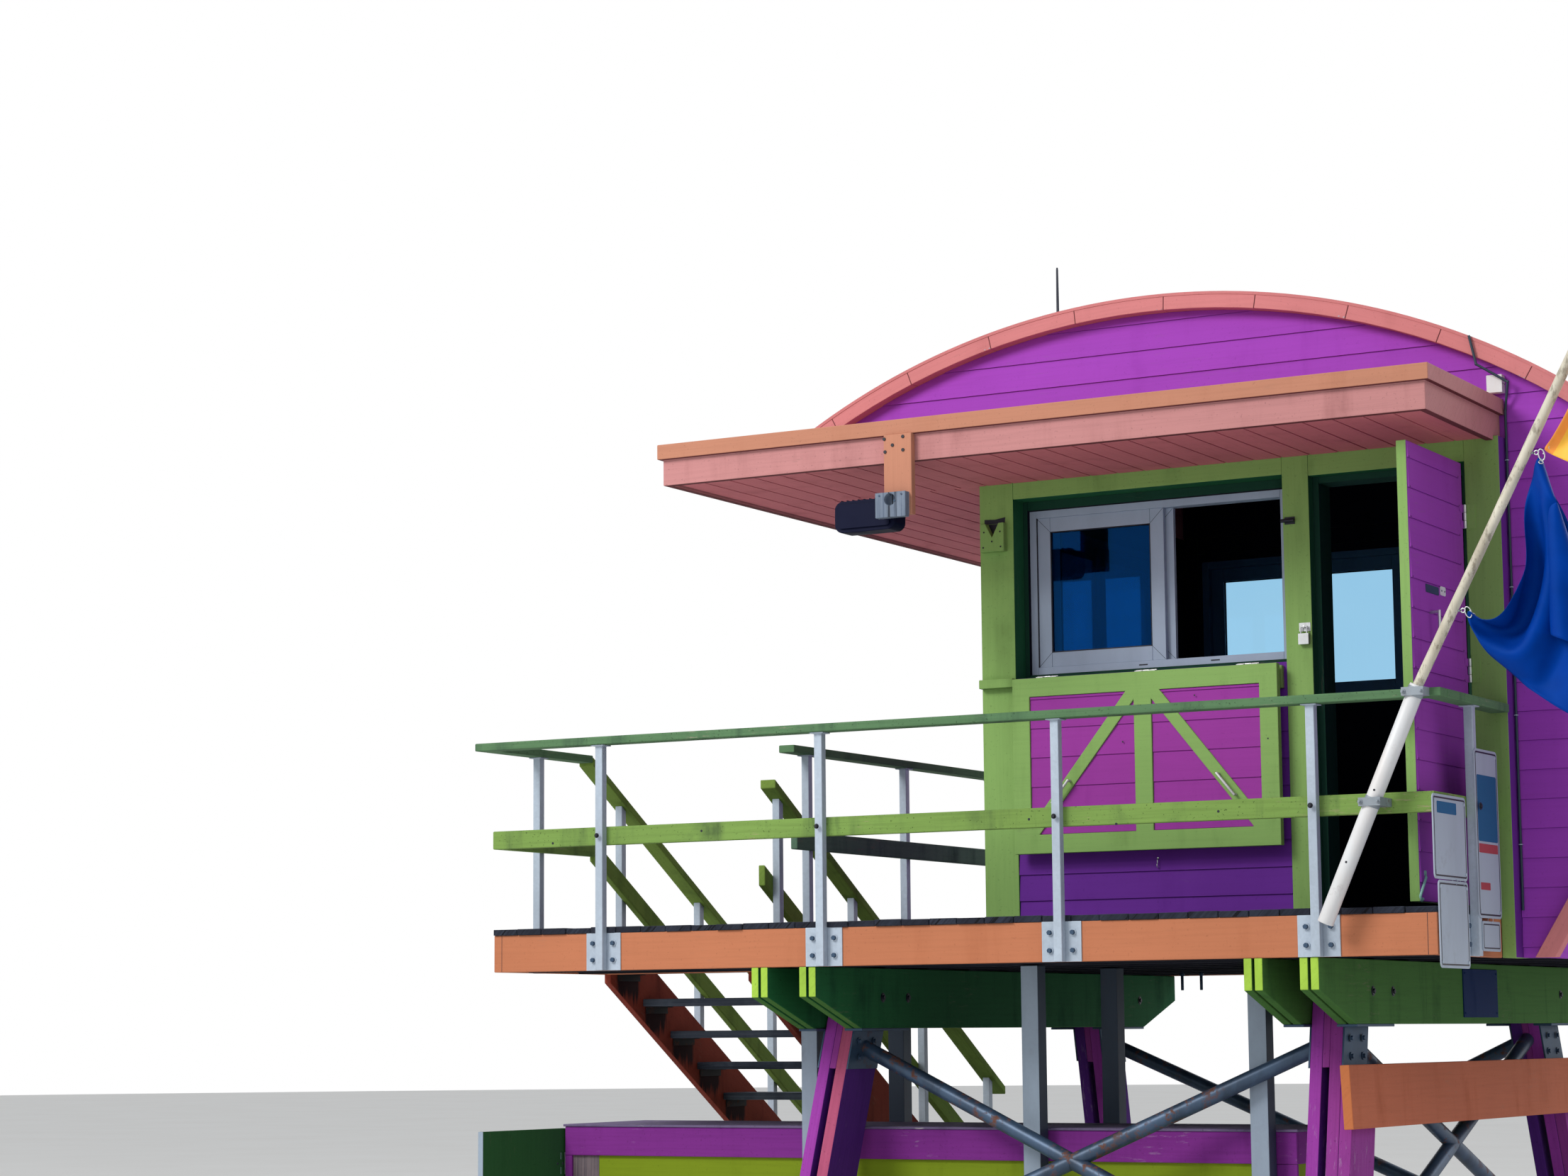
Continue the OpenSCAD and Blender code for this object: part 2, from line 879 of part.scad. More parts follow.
module stair_plate(x, y) {
    half = post_plate_w / 2;
    mid = stringer_top(y) - stringer_rise / 2;
    tall = stair_plate_h / 2;
    along_x(x, x + post_plate_t)
        polygon([
            [y - half, mid - tall + stair_slope * half],
            [y + half, mid - tall - stair_slope * half],
            [y + half, mid + tall - stair_slope * half],
            [y - half, mid + tall + stair_slope * half]
        ]);
}

module post_plates() {
    off = post_plate_t / 2;
    color("lightsteelblue")
        place() {
            for (x = near_posts)
                plate(x, -off, "x");
            for (x = back_posts)
                plate(x, deck_depth + off, "x");
            plate(-off, side_post_y, "y");
            for (y = sea_posts)
                plate(well_w - off, y, "y");
            both_sides()
                plate(deck_len + off, side_post_y, "y");
            for (y = stair_posts_y) {
                stair_plate(-post_plate_t, y);
                stair_plate(stair_w, y);
            }
        }
}

module top_rail(low, high) {
    span([low.x, low.y, rail_z], [high.x, high.y, rail_z + plank_t]);
}

rail_in = rail_out - rail_w;
sea_rail_y = strip_d - 120;
left_rail_end = sea_rail_y - 12;

module top_rails() {
    inner = deck_depth + rail_in;
    color("olivedrab")
        place() {
            top_rail([-rail_out, -rail_out], [deck_len + rail_out, -rail_in]);
            top_rail([-rail_out, butt_gap - rail_in], [-rail_in, left_rail_end]);
            top_rail([well_w - rail_out, sea_rail_y], [well_w - rail_in, deck_depth + rail_out]);
            top_rail([well_w - rail_in + butt_gap, inner], [deck_len + rail_out, deck_depth + rail_out]);
            both_sides()
                top_rail([deck_len + rail_in, butt_gap - rail_in], [deck_len + rail_out, bay_y]);
        }
}

module mid_rail(low, high) {
    span([low.x, low.y, mid_rail_z], [high.x, high.y, mid_rail_z + rail_w]);
}

module mid_rails() {
    edge = post_plate_t;
    inner = plank_t - post_plate_t;
    color("olivedrab")
        place() {
            mid_rail([-edge, -edge], [deck_len + edge, inner]);
            mid_rail([-edge, inner + butt_gap], [inner, left_rail_end]);
            mid_rail([well_w - edge, sea_rail_y], [well_w + inner, deck_depth + edge]);
            mid_rail([well_w + inner + butt_gap, deck_depth - inner], [deck_len + edge, deck_depth + edge]);
            both_sides()
                mid_rail([deck_len - inner, inner + butt_gap], [deck_len + edge, bay_y]);
        }
}

// Hut walls

module low_walls() {
    color("mediumorchid")
        place() {
            both_sides()
                span([window_x, bay_y + low_wall_back, deck_top], [mid_pier_x, gable_in, sill_z]);
            back_side()
                span([door_x, bay_y + low_wall_back, deck_top], [land_pier_x, gable_in, deck_top + door_h]);
        }
}

module pier(x0, x1) {
    span([x0, bay_y, deck_top], [x1, gable_in, soffit_z]);
}

module wall_piers() {
    color("yellowgreen")
        place()
            both_sides() {
                pier(hut_x, window_x);
                pier(mid_pier_x, door_x);
                pier(land_pier_x, hut_end);
                span([deck_len, bay_y, beam_top], [hut_end, gable_in, deck_top]);
            }
}

module wall_heads() {
    color("yellowgreen")
        place()
            both_sides() {
                span([window_x, bay_y, sill_z + window_h], [mid_pier_x, gable_in, soffit_z]);
                span([door_x, bay_y, deck_top + door_h], [land_pier_x, gable_in, soffit_z]);
            }
}

// End walls' outline above a level: below the arch and within the leaning wall
module section(base) {
    inset = inner_inset + panel_gap;
    crown = canopy_top + crown_h;
    intersection() {
        translate([arch_x, arch_z])
            circle(r = inner_r - panel_gap, $fn = 180);
        polygon([
            [canopy_x, base],
            [lean_x(base, inset), base],
            [lean_x(crown, inset), crown],
            [canopy_x, crown]
        ]);
    }
}

module gables() {
    color("mediumorchid")
        place()
            both_sides()
                difference() {
                    along_y(gable_y, gable_in)
                        section(soffit_z);
                    span([canopy_x - 1, gable_y - 1, soffit_z - 1],
                        [hut_in_x, gable_in + 1, canopy_top]);
                }
}

module corner_panels() {
    color("mediumorchid")
        place()
            both_sides()
                intersection() {
                    along_y(gable_y, gable_in)
                        section(beam_top);
                    span([hut_end, gable_y, beam_top], [east_end, gable_in, soffit_z]);
                }
}

sea_window_y = mid_y - window_w / 2;

module ocean_wall() {
    color("mediumorchid")
        place()
            difference() {
                span([hut_x, gable_in, deck_top], [hut_in_x, deck_depth - gable_in, soffit_z]);
                span([hut_x - 1, sea_window_y, sill_z],
                    [hut_in_x + 1, sea_window_y + window_w, sill_z + window_h]);
            }
}

module land_wall() {
    color("mediumorchid")
        place()
            along_y(gable_y, deck_depth - gable_y)
                polygon([
                    [lean_x(beam_top, rim_lip), beam_top],
                    meet(shell_r, rim_lip) + down_lean(butt_gap),
                    meet(inner_r, inner_inset) + down_lean(butt_gap),
                    [lean_x(beam_top, inner_inset), beam_top]
                ]);
}

module roof_shell() {
    color("lightsalmon")
        place()
            intersection() {
                difference() {
                    disc_y(arch_x, arch_z, shell_r, gable_y, deck_depth - gable_y);
                    disc_y(arch_x, arch_z, inner_r, gable_y - 1, deck_depth - gable_y + 1);
                }
                roof_region(meet(inner_r, inner_inset), meet(shell_r, rim_lip), gable_y - 10, deck_depth);
            }
}

// Space above the canopy's top and above a mitre given by its inner and outer ends
module roof_region(in, out, y0, y1) {
    mitre = out - in;
    high = canopy_top + roof_r;
    along_y(y0, y1)
        polygon([
            [canopy_x - cut_over, canopy_top],
            [arch_x, canopy_top],
            in - 3 * mitre,
            out + 10 * mitre,
            [foot_x + roof_r, high],
            [canopy_x - cut_over, high]
        ]);
}

rim_a = atan2(canopy_top - arch_z, -sqrt(roof_r * roof_r - pow(canopy_top - arch_z, 2)));
rim_b = atan2(meet_rise(roof_r, 0), meet_x(roof_r, 0) - arch_x);

// One length of the curved rim, between two angles about the arch's centre
module rim_length(a0, a1, y0, y1) {
    far = 2 * roof_r;
    gap = asin(butt_gap / roof_r);
    intersection() {
        difference() {
            disc_y(arch_x, arch_z, roof_r, y0, y1);
            disc_y(arch_x, arch_z, rim_in_r, y0 - 1, y1 + 1);
        }
        along_y(y0 - 2, y1 + 2)
            translate([arch_x, arch_z])
                polygon([
                    [0, 0],
                    far * [cos(a0 - gap), sin(a0 - gap)],
                    far * [cos(a1), sin(a1)]
                ]);
    }
}

module near_rim() {
    y0 = gable_y - rim_over;
    step = (rim_a - rim_b) / rim_count;
    inner = [for (i = [1 : rim_count - 1]) rim_a - i * step];
    cuts = concat([rim_a + step / 2], inner, [rim_b - step / 2]);
    for (i = [1 : rim_count])
        intersection() {
            rim_length(cuts[i - 1], cuts[i], y0, gable_y);
            roof_region(meet(rim_in_r, rim_w), meet(roof_r, 0), y0 - 10, gable_y + 10);
        }
    along_y(y0, gable_y)
        polygon([
            [lean_x(beam_top, 0), beam_top],
            meet(roof_r, 0) + down_lean(2 * butt_gap),
            meet(rim_in_r, rim_w) + down_lean(2 * butt_gap),
            [lean_x(beam_top, rim_w), beam_top]
        ]);
}

module roof_rims() {
    color("salmon")
        place()
            both_sides()
                near_rim();
}

canopy_back = gable_y - butt_gap;
low_x = canopy_x + band_lip;
low_y = band_lip - canopy_over;
soffit_x = low_x + plank_t;

// The near part: a slab with an upper band standing out and an edge board
module canopy_side() {
    difference() {
        union() {
            span([low_x, low_y, canopy_z], [hut_end - band_lip, canopy_back, canopy_top]);
            span([canopy_x, -canopy_over, canopy_z + canopy_low], [hut_end, canopy_back, canopy_top]);
        }
        span([soffit_x, low_y + plank_t, canopy_z - 1],
            [hut_end - band_lip - plank_t, canopy_back + 1, soffit_z]);
        span([soffit_x, bay_y, canopy_z - 1], [hut_end + 1, canopy_back + 1, soffit_z]);
    }
}

module canopy() {
    color("lightsalmon")
        place() {
            both_sides()
                canopy_side();
            span([canopy_x, gable_y, canopy_z + canopy_low],
                [hut_in_x, deck_depth - gable_y, canopy_top]);
            span([soffit_x, gable_y, soffit_z],
                [hut_in_x, deck_depth - gable_y, canopy_z + canopy_low]);
            span([low_x, gable_y, canopy_z],
                [soffit_x, deck_depth - gable_y, canopy_z + canopy_low]);
        }
}

// Windows: each is placed in a frame whose X runs along the wall, Y into the hut

frame_x0 = casing_w;
frame_x1 = window_w - casing_w;
frame_z0 = casing_w;
frame_z1 = window_h - casing_top;
frame_gap = 0.5;
casing_lap = 20;

module casing_boards(depth) {
    z1 = window_h;
    span([0, -depth, 0], [casing_w, 0, z1]);
    span([window_w - casing_w, -depth, 0], [window_w, 0, z1]);
    span([casing_w + frame_gap, -depth, 0], [frame_x1 - frame_gap, 0, casing_w]);
    span([casing_w + frame_gap, -depth, frame_z1], [frame_x1 - frame_gap, 0, z1]);
}

module frame_bars() {
    front = -frame_d;
    span([frame_x0, front, frame_z0], [frame_x0 + frame_w, 0, frame_z1]);
    span([frame_x1 - frame_w, front, frame_z0], [frame_x1, 0, frame_z1]);
    x0 = frame_x0 + frame_w + frame_gap;
    x1 = frame_x1 - frame_w - frame_gap;
    span([x0, front, frame_z0], [x1, 0, frame_z0 + frame_w]);
    span([x0, front, frame_z1 - frame_w], [x1, 0, frame_z1]);
}

sash_low = frame_z0 + frame_w;
sash_high = frame_z1 - frame_w;
sash_w = (frame_x1 - frame_x0 - 2 * frame_w + stile_w) / 2;

module sash_bars(x, y) {
    span([x, y, sash_low], [x + stile_w, y + sash_t, sash_high]);
    span([x + sash_w - stile_w, y, sash_low], [x + sash_w, y + sash_t, sash_high]);
    x0 = x + stile_w + frame_gap;
    x1 = x + sash_w - stile_w - frame_gap;
    span([x0, y, sash_low], [x1, y + sash_t, sash_low + stile_w]);
    span([x0, y, sash_high - stile_w], [x1, y + sash_t, sash_high]);
}

module sash_pane(x, y) {
    span([x + stile_w, y + (sash_t - glass_t) / 2, sash_low + stile_w],
        [x + sash_w - stile_w, y + (sash_t + glass_t) / 2, sash_high - stile_w]);
}

sash_first = frame_x0 + frame_w;
sash_last = frame_x1 - frame_w - sash_w;
sash_front = 6 - frame_d;
sash_rear = sash_front + sash_t + 4;

// Windows' places: the near bay, the back bay and the seaward wall
module in_near_bay() {
    translate([window_x, gable_in, sill_z])
        children();
}

module in_back_bay() {
    back_side()
        in_near_bay()
            children();
}

module in_sea_wall() {
    translate([hut_in_x, sea_window_y, sill_z])
        rotate([0, 0, 90])
            mirror([0, 1, 0])
                children();
}

module window_casings() {
    color("yellowgreen")
        place() {
            both_sides()
                in_near_bay()
                    casing_boards(frame_d + casing_lap);
            in_sea_wall()
                casing_boards(wall_t);
        }
}

module window_frames() {
    color("silver")
        place() {
            both_sides()
                in_near_bay()
                    frame_bars();
            in_sea_wall()
                frame_bars();
        }
}

rear_near_x = sash_first + 40;
rear_back_x = sash_last - 160;

module sash_pair(rear_x) {
    sash_bars(sash_first, sash_front);
    sash_bars(rear_x, sash_rear);
}

module pane_pair(rear_x) {
    sash_pane(sash_first, sash_front);
    sash_pane(rear_x, sash_rear);
}

module window_sashes() {
    color("gainsboro")
        place() {
            in_near_bay()
                sash_pair(rear_near_x);
            in_back_bay()
                sash_pair(rear_back_x);
            in_sea_wall()
                sash_pair(sash_last);
        }
}

module window_glass() {
    color("steelblue", 0.5)
        place() {
            in_near_bay()
                pane_pair(rear_near_x);
            in_back_bay()
                pane_pair(rear_back_x);
            in_sea_wall()
                pane_pair(sash_last);
        }
}

casing_t = 30;
stop_gap = 10;

module door_casing() {
    y0 = bay_y + door_t + stop_gap;
    top = deck_top + door_h;
    color("yellowgreen")
        place() {
            span([door_x, y0, deck_top], [door_x + casing_t, gable_in, top]);
            span([land_pier_x - casing_t, y0, deck_top], [land_pier_x, gable_in, top]);
            span([door_x + casing_t + butt_gap, y0, top - casing_t],
                [land_pier_x - casing_t - butt_gap, gable_in, top]);
        }
}

// Shutter, hanging open below its hinges

shutter_y1 = shutter_pin_y - shutter_back;
shutter_y0 = shutter_y1 - shutter_t;
shutter_top = shutter_pin_z - shutter_hang;
shutter_low = shutter_top - shutter_h;
shutter_end = shutter_x + shutter_w;
shutter_mid = shutter_x + shutter_w / 2;
infill_back = 12;
brace_cut = 42;

// A flat batten from corner to corner of half the shutter
module brace_strip(x0, x1) {
    low = shutter_low + shutter_frame_w;
    high = shutter_top - shutter_frame_w;
    side = sign(x1 - x0) * brace_cut;
    polygon([
        [x0, low],
        [x0 + side, low],
        [x1, high - brace_cut],
        [x1, high],
        [x1 - side, high],
        [x0, low + brace_cut]
    ]);
}

// The bays inside the frame, beside the middle board and between the battens
module shutter_bays(y0, y1) {
    f = shutter_frame_w;
    difference() {
        span([shutter_x + f, y0, shutter_low + f], [shutter_end - f, y1, shutter_top - f]);
        span([shutter_mid - f / 2, y0 - 1, shutter_low], [shutter_mid + f / 2, y1 + 1, shutter_top]);
        along_y(y0 - 1, y1 + 1) {
            brace_strip(shutter_x + f, shutter_mid - f / 2);
            brace_strip(shutter_end - f, shutter_mid + f / 2);
        }
    }
}

module shutter_frame() {
    color("yellowgreen")
        place()
            difference() {
                span([shutter_x, shutter_y0, shutter_low], [shutter_end, shutter_y1, shutter_top]);
                shutter_bays(shutter_y0 - 1, shutter_y1 + 1);
            }
}

module shutter_panel() {
    color("purple")
        place()
            shutter_bays(shutter_y0 + infill_back, shutter_y1);
}

strap_t = 3;
strap_w = 40;
strap_l = 60;
ledger_strap_l = 80;
knuckle_l = 34;
knuckle_gap = 1;
shutter_knuckle_r = 6;
shutter_hinges = [for (f = [0.12, 0.5, 0.88]) shutter_x + f * shutter_w];

module knuckle_x(x0, x1, r) {
    translate([x0, shutter_pin_y, shutter_pin_z])
        rotate([0, 90, 0])
            cylinder(h = x1 - x0, r = r, $fn = 32);
}

module shutter_strap(x) {
    y = shutter_y1;
    z1 = shutter_pin_z;
    for (s = [-1, 1]) {
        x0 = x + s * (knuckle_l + 2 * knuckle_gap) - knuckle_l / 2;
        knuckle_x(x0, x0 + knuckle_l, shutter_knuckle_r);
        span([x0, y, z1 - shutter_hang - strap_l], [x0 + knuckle_l, y + strap_t, z1]);
        span([x0, y, z1 - strap_t], [x0 + knuckle_l, shutter_pin_y, z1]);
    }
}

pull_l = 140;
pull_d = 12;
pull_stand = 30;
pull_out = 421;
pull_z = shutter_low + 236;

// A bow pull standing off the shutter's face, along one of its braces
module shutter_pull(side) {
    rise = shutter_top - shutter_low - 2 * shutter_frame_w;
    run = shutter_w / 2 - 1.5 * shutter_frame_w;
    way = [-side * run, 0, rise] / norm([run, rise]);
    foot = [shutter_mid + side * (pull_out + run * pull_l / 2 / norm([run, rise])), shutter_y0, pull_z];
    stand = [0, -pull_stand, 0];
    top = foot + pull_l * way;
    bar(foot + stand, top + stand, pull_d);
    bar(foot + stand + pull_d / 2 * way, foot + pull_d / 2 * way, pull_d);
    bar(top + stand - pull_d / 2 * way, top - pull_d / 2 * way, pull_d);
}

module shutter_fittings() {
    color("silver")
        place() {
            for (x = shutter_hinges)
                shutter_strap(x);
            for (side = [-1, 1])
                shutter_pull(side);
        }
}

// Door, standing open square to the bay

leaf_x1 = door_pin_x - door_pin_out;
leaf_x0 = leaf_x1 - door_t;
leaf_y1 = door_pin_y - door_gap;
leaf_y0 = leaf_y1 - leaf_w;

module door_leaf() {
    color("purple")
        place()
            span([leaf_x0, leaf_y0, leaf_low], [leaf_x1, leaf_y1, leaf_low + leaf_h]);
}

hinge_h = 110;
hinge_l = 45;
knuckle_h = hinge_h / 3 - 2 * knuckle_gap;
function knuckle_low(z, part) = z + part * hinge_h / 3 + knuckle_gap;
door_hinges = [for (f = [0.12, 0.5, 0.85]) leaf_low + f * leaf_h];

// One of a butt hinge's three knuckles, on the pin
module knuckle(z, part) {
    translate([0, 0, knuckle_low(z, part)])
        cylinder(h = knuckle_h, r = knuckle_r, $fn = 32);
}

handle_h = 1222;
handle_in = 240;
handle_grip = 150;
handle_stand = 45;
handle_d = 14;
hasp_l = 125;

// A bow handle standing off one face of the leaf
module handle(x, y, z, side) {
    out = x + side * handle_stand;
    reach = (handle_grip - handle_d) / 2;
    bar([out, y, z - handle_grip / 2], [out, y, z + handle_grip / 2], handle_d);
    for (h = [z - reach, z + reach])
        bar([out, y, h], [x, y, h], handle_d);
}

module door_fittings() {
    hasp_z = deck_top + handle_h + handle_grip;
    color("silver")
        place() {
            for (z = door_hinges, part = [0, 2]) {
                low = knuckle_low(z, part);
                translate([door_pin_x, door_pin_y, 0])
                    knuckle(z, part);
                span([leaf_x1, leaf_y1 - strap_w, low],
                    [leaf_x1 + strap_t, door_pin_y - 2 * knuckle_gap, low + knuckle_h]);
            }
            handle(leaf_x1, leaf_y0 + handle_in, deck_top + handle_h, 1);
            handle(leaf_x0, leaf_y0 + handle_in, deck_top + handle_h, -1);
            span([leaf_x1, leaf_y0 + handle_in, hasp_z],
                [leaf_x1 + strap_t, leaf_y0 + handle_in + hasp_l, hasp_z + strap_w]);
        }
}

// Fixed halves of the hinges, hasp with padlock, shutter latch

module door_jamb_hinges() {
    x = door_pin_x + knuckle_r + knuckle_gap;
    y = bay_y - strap_t;
    for (z = door_hinges) {
        low = knuckle_low(z, 1);
        translate([door_pin_x, door_pin_y, 0])
            knuckle(z, 1);
        span([x, y, z], [door_pin_x + hinge_l, bay_y, z + hinge_h]);
        span([door_pin_x + 2 * knuckle_gap, y, low], [x + knuckle_gap, bay_y, low + knuckle_h]);
    }
}

ledger_h = 120;
ledger_drop = 14;

module shutter_wall_hinges() {
    for (x = shutter_hinges) {
        half = knuckle_l / 2 - knuckle_gap;
        knuckle_x(x - half, x + half, shutter_knuckle_r);
        span([x - half, shutter_pin_y, shutter_pin_z - ledger_strap_l],
            [x + half, shutter_pin_y + strap_t, shutter_pin_z]);
    }
}

module locker_wall_hinges() {
    x = locker_x - strap_t;
    y = locker_pin_y - 1.5 * knuckle_r;
    for (z = locker_hinges) {
        low = knuckle_low(z, 1);
        translate([locker_pin_x, locker_pin_y, 0])
            knuckle(z, 1);
        span([x, locker_y, z], [locker_x, y, z + hinge_h]);
        span([x, y - knuckle_gap, low], [locker_x, locker_pin_y, low + knuckle_h]);
    }
}

lock_in = 35;
lock_h = 1245;
lock_w = 50;
shackle_d = 7;
shackle_rise = 32;
staple_d = 10;
staple_out = 16;
staple_plate = [55, 40];
lock_t = 20;
bolt_h = 656;
bolt_d = 17;
bolt_l = 65;

// A padlock hanging from a staple on the pier beside the door
module padlock() {
    x = door_x - lock_in;
    z = deck_top + lock_h;
    y = bay_y - staple_out;
    arm = lock_w / 2 - 1.5 * shackle_d;
    top = z + lock_w + shackle_rise;
    half = staple_plate / 2;
    span([x - half.x, bay_y - strap_t, top - half.y], [x + half.x, bay_y, top + half.y]);
    for (s = [-1, 1])
        bar([x + s * arm, y, z + lock_w - shackle_d], [x + s * arm, y, top + shackle_d / 2], shackle_d);
    bar([x - arm, y, top], [x + arm, y, top], shackle_d);
    bar([x, y - shackle_d / 2, top], [x, bay_y - strap_t / 2, top], staple_d);
    span([x - lock_w / 2, y - lock_t / 2, z], [x + lock_w / 2, y + lock_t / 2, z + lock_w]);
}

// A barrel bolt on the edge of the pier beside the window
module barrel_bolt() {
    z = sill_z + bolt_h;
    y = bay_y - strap_t - bolt_d / 2;
    end = mid_pier_x + 60;
    span([end - 50, bay_y - strap_t - 1, z - bolt_d], [end, bay_y, z + bolt_d]);
    bar([end - bolt_l, y, z], [end, y, z], bolt_d);
}

module wall_fittings() {
    color("silver")
        place() {
            door_jamb_hinges();
            shutter_wall_hinges();
            locker_wall_hinges();
            padlock();
            barrel_bolt();
        }
}

// Wooden holders on the canopy and the seaward pier, and the shutter's ledger

hanger_x = hut_x - 21;
hanger_w = 145;
hanger_z = canopy_z - 254;
block_x = hanger_x - 28;
block_w = 159;
block_h = 118;
block_z = hanger_z - 14;
hole_in = 76;
hole_drop = 34;
holder_z = deck_top + 1797;
holder_in = 18;
holder_w = 128;
holder_h = 140;
notch_lip = 28;
notch_h = 70;
sill_block_h = 43;

module hanger() {
    y1 = band_lip - canopy_over;
    span([hanger_x, y1 - plank_t, hanger_z], [hanger_x + hanger_w, y1, canopy_z + canopy_low]);
}

module hanger_block() {
    y1 = band_lip - canopy_over - plank_t;
    difference() {
        span([block_x, y1 - plank_t, block_z], [block_x + block_w, y1, block_z + block_h]);
        translate([block_x + hole_in, y1 + 1, block_z + block_h - hole_drop])
            rotate([90, 0, 0])
                cylinder(h = plank_t + 2, d = hanger_hole_d, $fn = 48);
    }
}

// A board with a V cut in its top edge, on the face of the seaward pier
module notched_board() {
    x0 = hut_x + holder_in;
    x1 = x0 + holder_w;
    top = holder_z + holder_h;
    along_y(bay_y - plank_t, bay_y)
        polygon([
            [x0, holder_z],
            [x1, holder_z],
            [x1, top],
            [x1 - notch_lip, top],
            [(x0 + x1) / 2, top - notch_h],
            [x0 + notch_lip, top],
            [x0, top]
        ]);
}

module equipment_holders() {
    color("yellowgreen")
        place() {
            notched_board();
            span([hut_x, bay_y - plank_t, sill_z - sill_block_h], [window_x, bay_y, sill_z]);
            span([shutter_x, shutter_pin_y + strap_t, shutter_pin_z - ledger_h],
                [shutter_end, bay_y + low_wall_back, shutter_pin_z - ledger_drop]);
            hanger();
            hanger_block();
        }
}

// Boards and flags

board_near = 300;
board_far_in = 300;
name_high = beam_low - 185;
name_low = name_high - 279;
name_t = 45;

module name_board() {
    color("orangered")
        place()
            at_leg(land_leg_x, -1)
                span([leg_w / 2 + leg_plank_t, board_near, name_low],
                    [leg_w / 2 + leg_plank_t + name_t, deck_depth - board_far_in, name_high]);
}

sign_t = 6;
// Near and far edge, then lower and upper edge above the deck
first_sign = [near_end, 260, -268, 463];
second_sign = [400, 710, -199, 692];
sign_arm = [80, 220, -170, -80];

module sign_span(x0, x1, s) {
    span([x0, s[0], deck_top + s[2]], [x1, s[1], deck_top + s[3]]);
}

module rail_signs() {
    x = deck_len + post_plate_t + rail_post_w;
    color("gainsboro")
        place() {
            sign_span(x, x + sign_t, first_sign);
            sign_span(x, x + sign_t, second_sign);
            sign_span(deck_len, x, sign_arm);
        }
}

flag_gap = 24;
pole_gap = 2;
blue_low = deck_top + flag_low;
blue_high = blue_low + flag_hoist;
yellow_low = blue_high + flag_gap;
yellow_high = yellow_low + flag_hoist;
pole_y = -rail_out - sleeve_d / 2 - pole_gap;
sleeve_foot = [deck_len - 460, pole_y, deck_top - 70];
sleeve_top = deck_top + rail_h + 8;
pole_top = deck_top + pole_h;
function sleeve_x(z) = sleeve_foot.x + (z - sleeve_foot.z) * tan(sleeve_lean);
function pole_x(z) = sleeve_x(sleeve_top) + (z - sleeve_top) * tan(pole_lean);

module whole_pole(d) {
    bar([sleeve_x(sleeve_top), pole_y, sleeve_top], [pole_x(pole_top), pole_y, pole_top], d);
}

module flag_pole() {
    color("whitesmoke")
        place() {
            bar(sleeve_foot, [sleeve_x(sleeve_top), pole_y, sleeve_top], sleeve_d);
            whole_pole(pole_d);
        }
}

clamp_h = 36;
clamp_side = 14;
clamp_t = 8;

module clamp_at(z, inner_y) {
    x = sleeve_x(z);
    half = clamp_h / 2;
    side = sleeve_d / 2 + clamp_side;
    difference() {
        span([x - side, pole_y - sleeve_d / 2 - clamp_t, z - half], [x + side, inner_y, z + half]);
        bar([sleeve_x(z - 100), pole_y, z - 100], [sleeve_x(z + 100), pole_y, z + 100], sleeve_d);
    }
}

module pole_clamps() {
    color("silver")
        place() {
            clamp_at(rail_z + plank_t / 2, -rail_out);
            clamp_at(mid_rail_z + rail_w / 2, -post_plate_t);
            difference() {
                for (z = [blue_low, (blue_high + yellow_low) / 2, yellow_high])
                    bar([pole_x(z), pole_y, z], [pole_x(z) + flag_reach - clip_d / 2, pole_y, z], clip_d);
                whole_pole(pole_d + butt_gap);
            }
        }
}

flag_t = 4;
flag_reach = 38;
clip_d = 9;

module hung_flag(points) {
    translate([0, pole_y + flag_t / 2, 0])
        rotate([90, 0, 0])
            linear_extrude(flag_t)
                polygon(points);
}

function at_pole(z, out) = [pole_x(z) + out, z];

module blue_flag() {
    color("royalblue")
        place()
            hung_flag([
                at_pole(blue_high, flag_reach),
                at_pole(blue_low, flag_reach),
                at_pole(blue_low - 0.77 * flag_fly, 0.55 * flag_fly),
                at_pole(blue_low - 0.6 * flag_fly, 0.94 * flag_fly),
                at_pole(blue_high - 0.8 * flag_fly, 0.8 * flag_fly)
            ]);
}

module yellow_flag() {
    color("gold")
        place()
            hung_flag([
                at_pole(yellow_low, flag_reach),
                at_pole(yellow_low - 0.43 * flag_fly, 0.84 * flag_fly),
                at_pole(yellow_low + 0.26 * flag_fly, 0.8 * flag_fly),
                at_pole(yellow_high, flag_reach)
            ]);
}

// Light, antenna, box and cable

light_w = 318;
light_h = 150;
light_d = 112;
light_r = 42;
light_lap = 30;
light_gap = 6;
light_x = hanger_x + light_lap - light_w;
light_z = hanger_z - 55;

// A round-cornered housing bolted to the hanger's back through a spacer
module flood_light() {
    y0 = band_lip - canopy_over;
    half = [light_w, light_h] / 2;
    flat = half - [light_r, light_r];
    color("dimgray")
        place() {
            along_y(y0 + light_gap, y0 + light_gap + light_d)
                translate([light_x, light_z] + half)
                    polygon([
                        for (a = [0 : 15 : 345], c = [[cos(a), sin(a)]])
                            [sign(c.x) * flat.x + light_r * c.x, sign(c.y) * flat.y + light_r * c.y]
                    ]);
            span([hanger_x, y0, light_z + light_r],
                [hanger_x + light_lap / 2, y0 + light_r, light_z + light_h / 2]);
        }
}

antenna_x = hut_x + 233;
antenna_y = 1300;
antenna_h = 360;
antenna_d = 30;

module antenna() {
    base = arch_z + sqrt(shell_r * shell_r - pow(antenna_x - arch_x, 2));
    color("dimgray")
        place()
            difference() {
                translate([antenna_x, antenna_y, base - antenna_d])
                    cylinder(h = antenna_h + antenna_d, d = antenna_d, $fn = 32);
                disc_y(arch_x, arch_z, shell_r, antenna_y - antenna_d, antenna_y + antenna_d);
            }
}

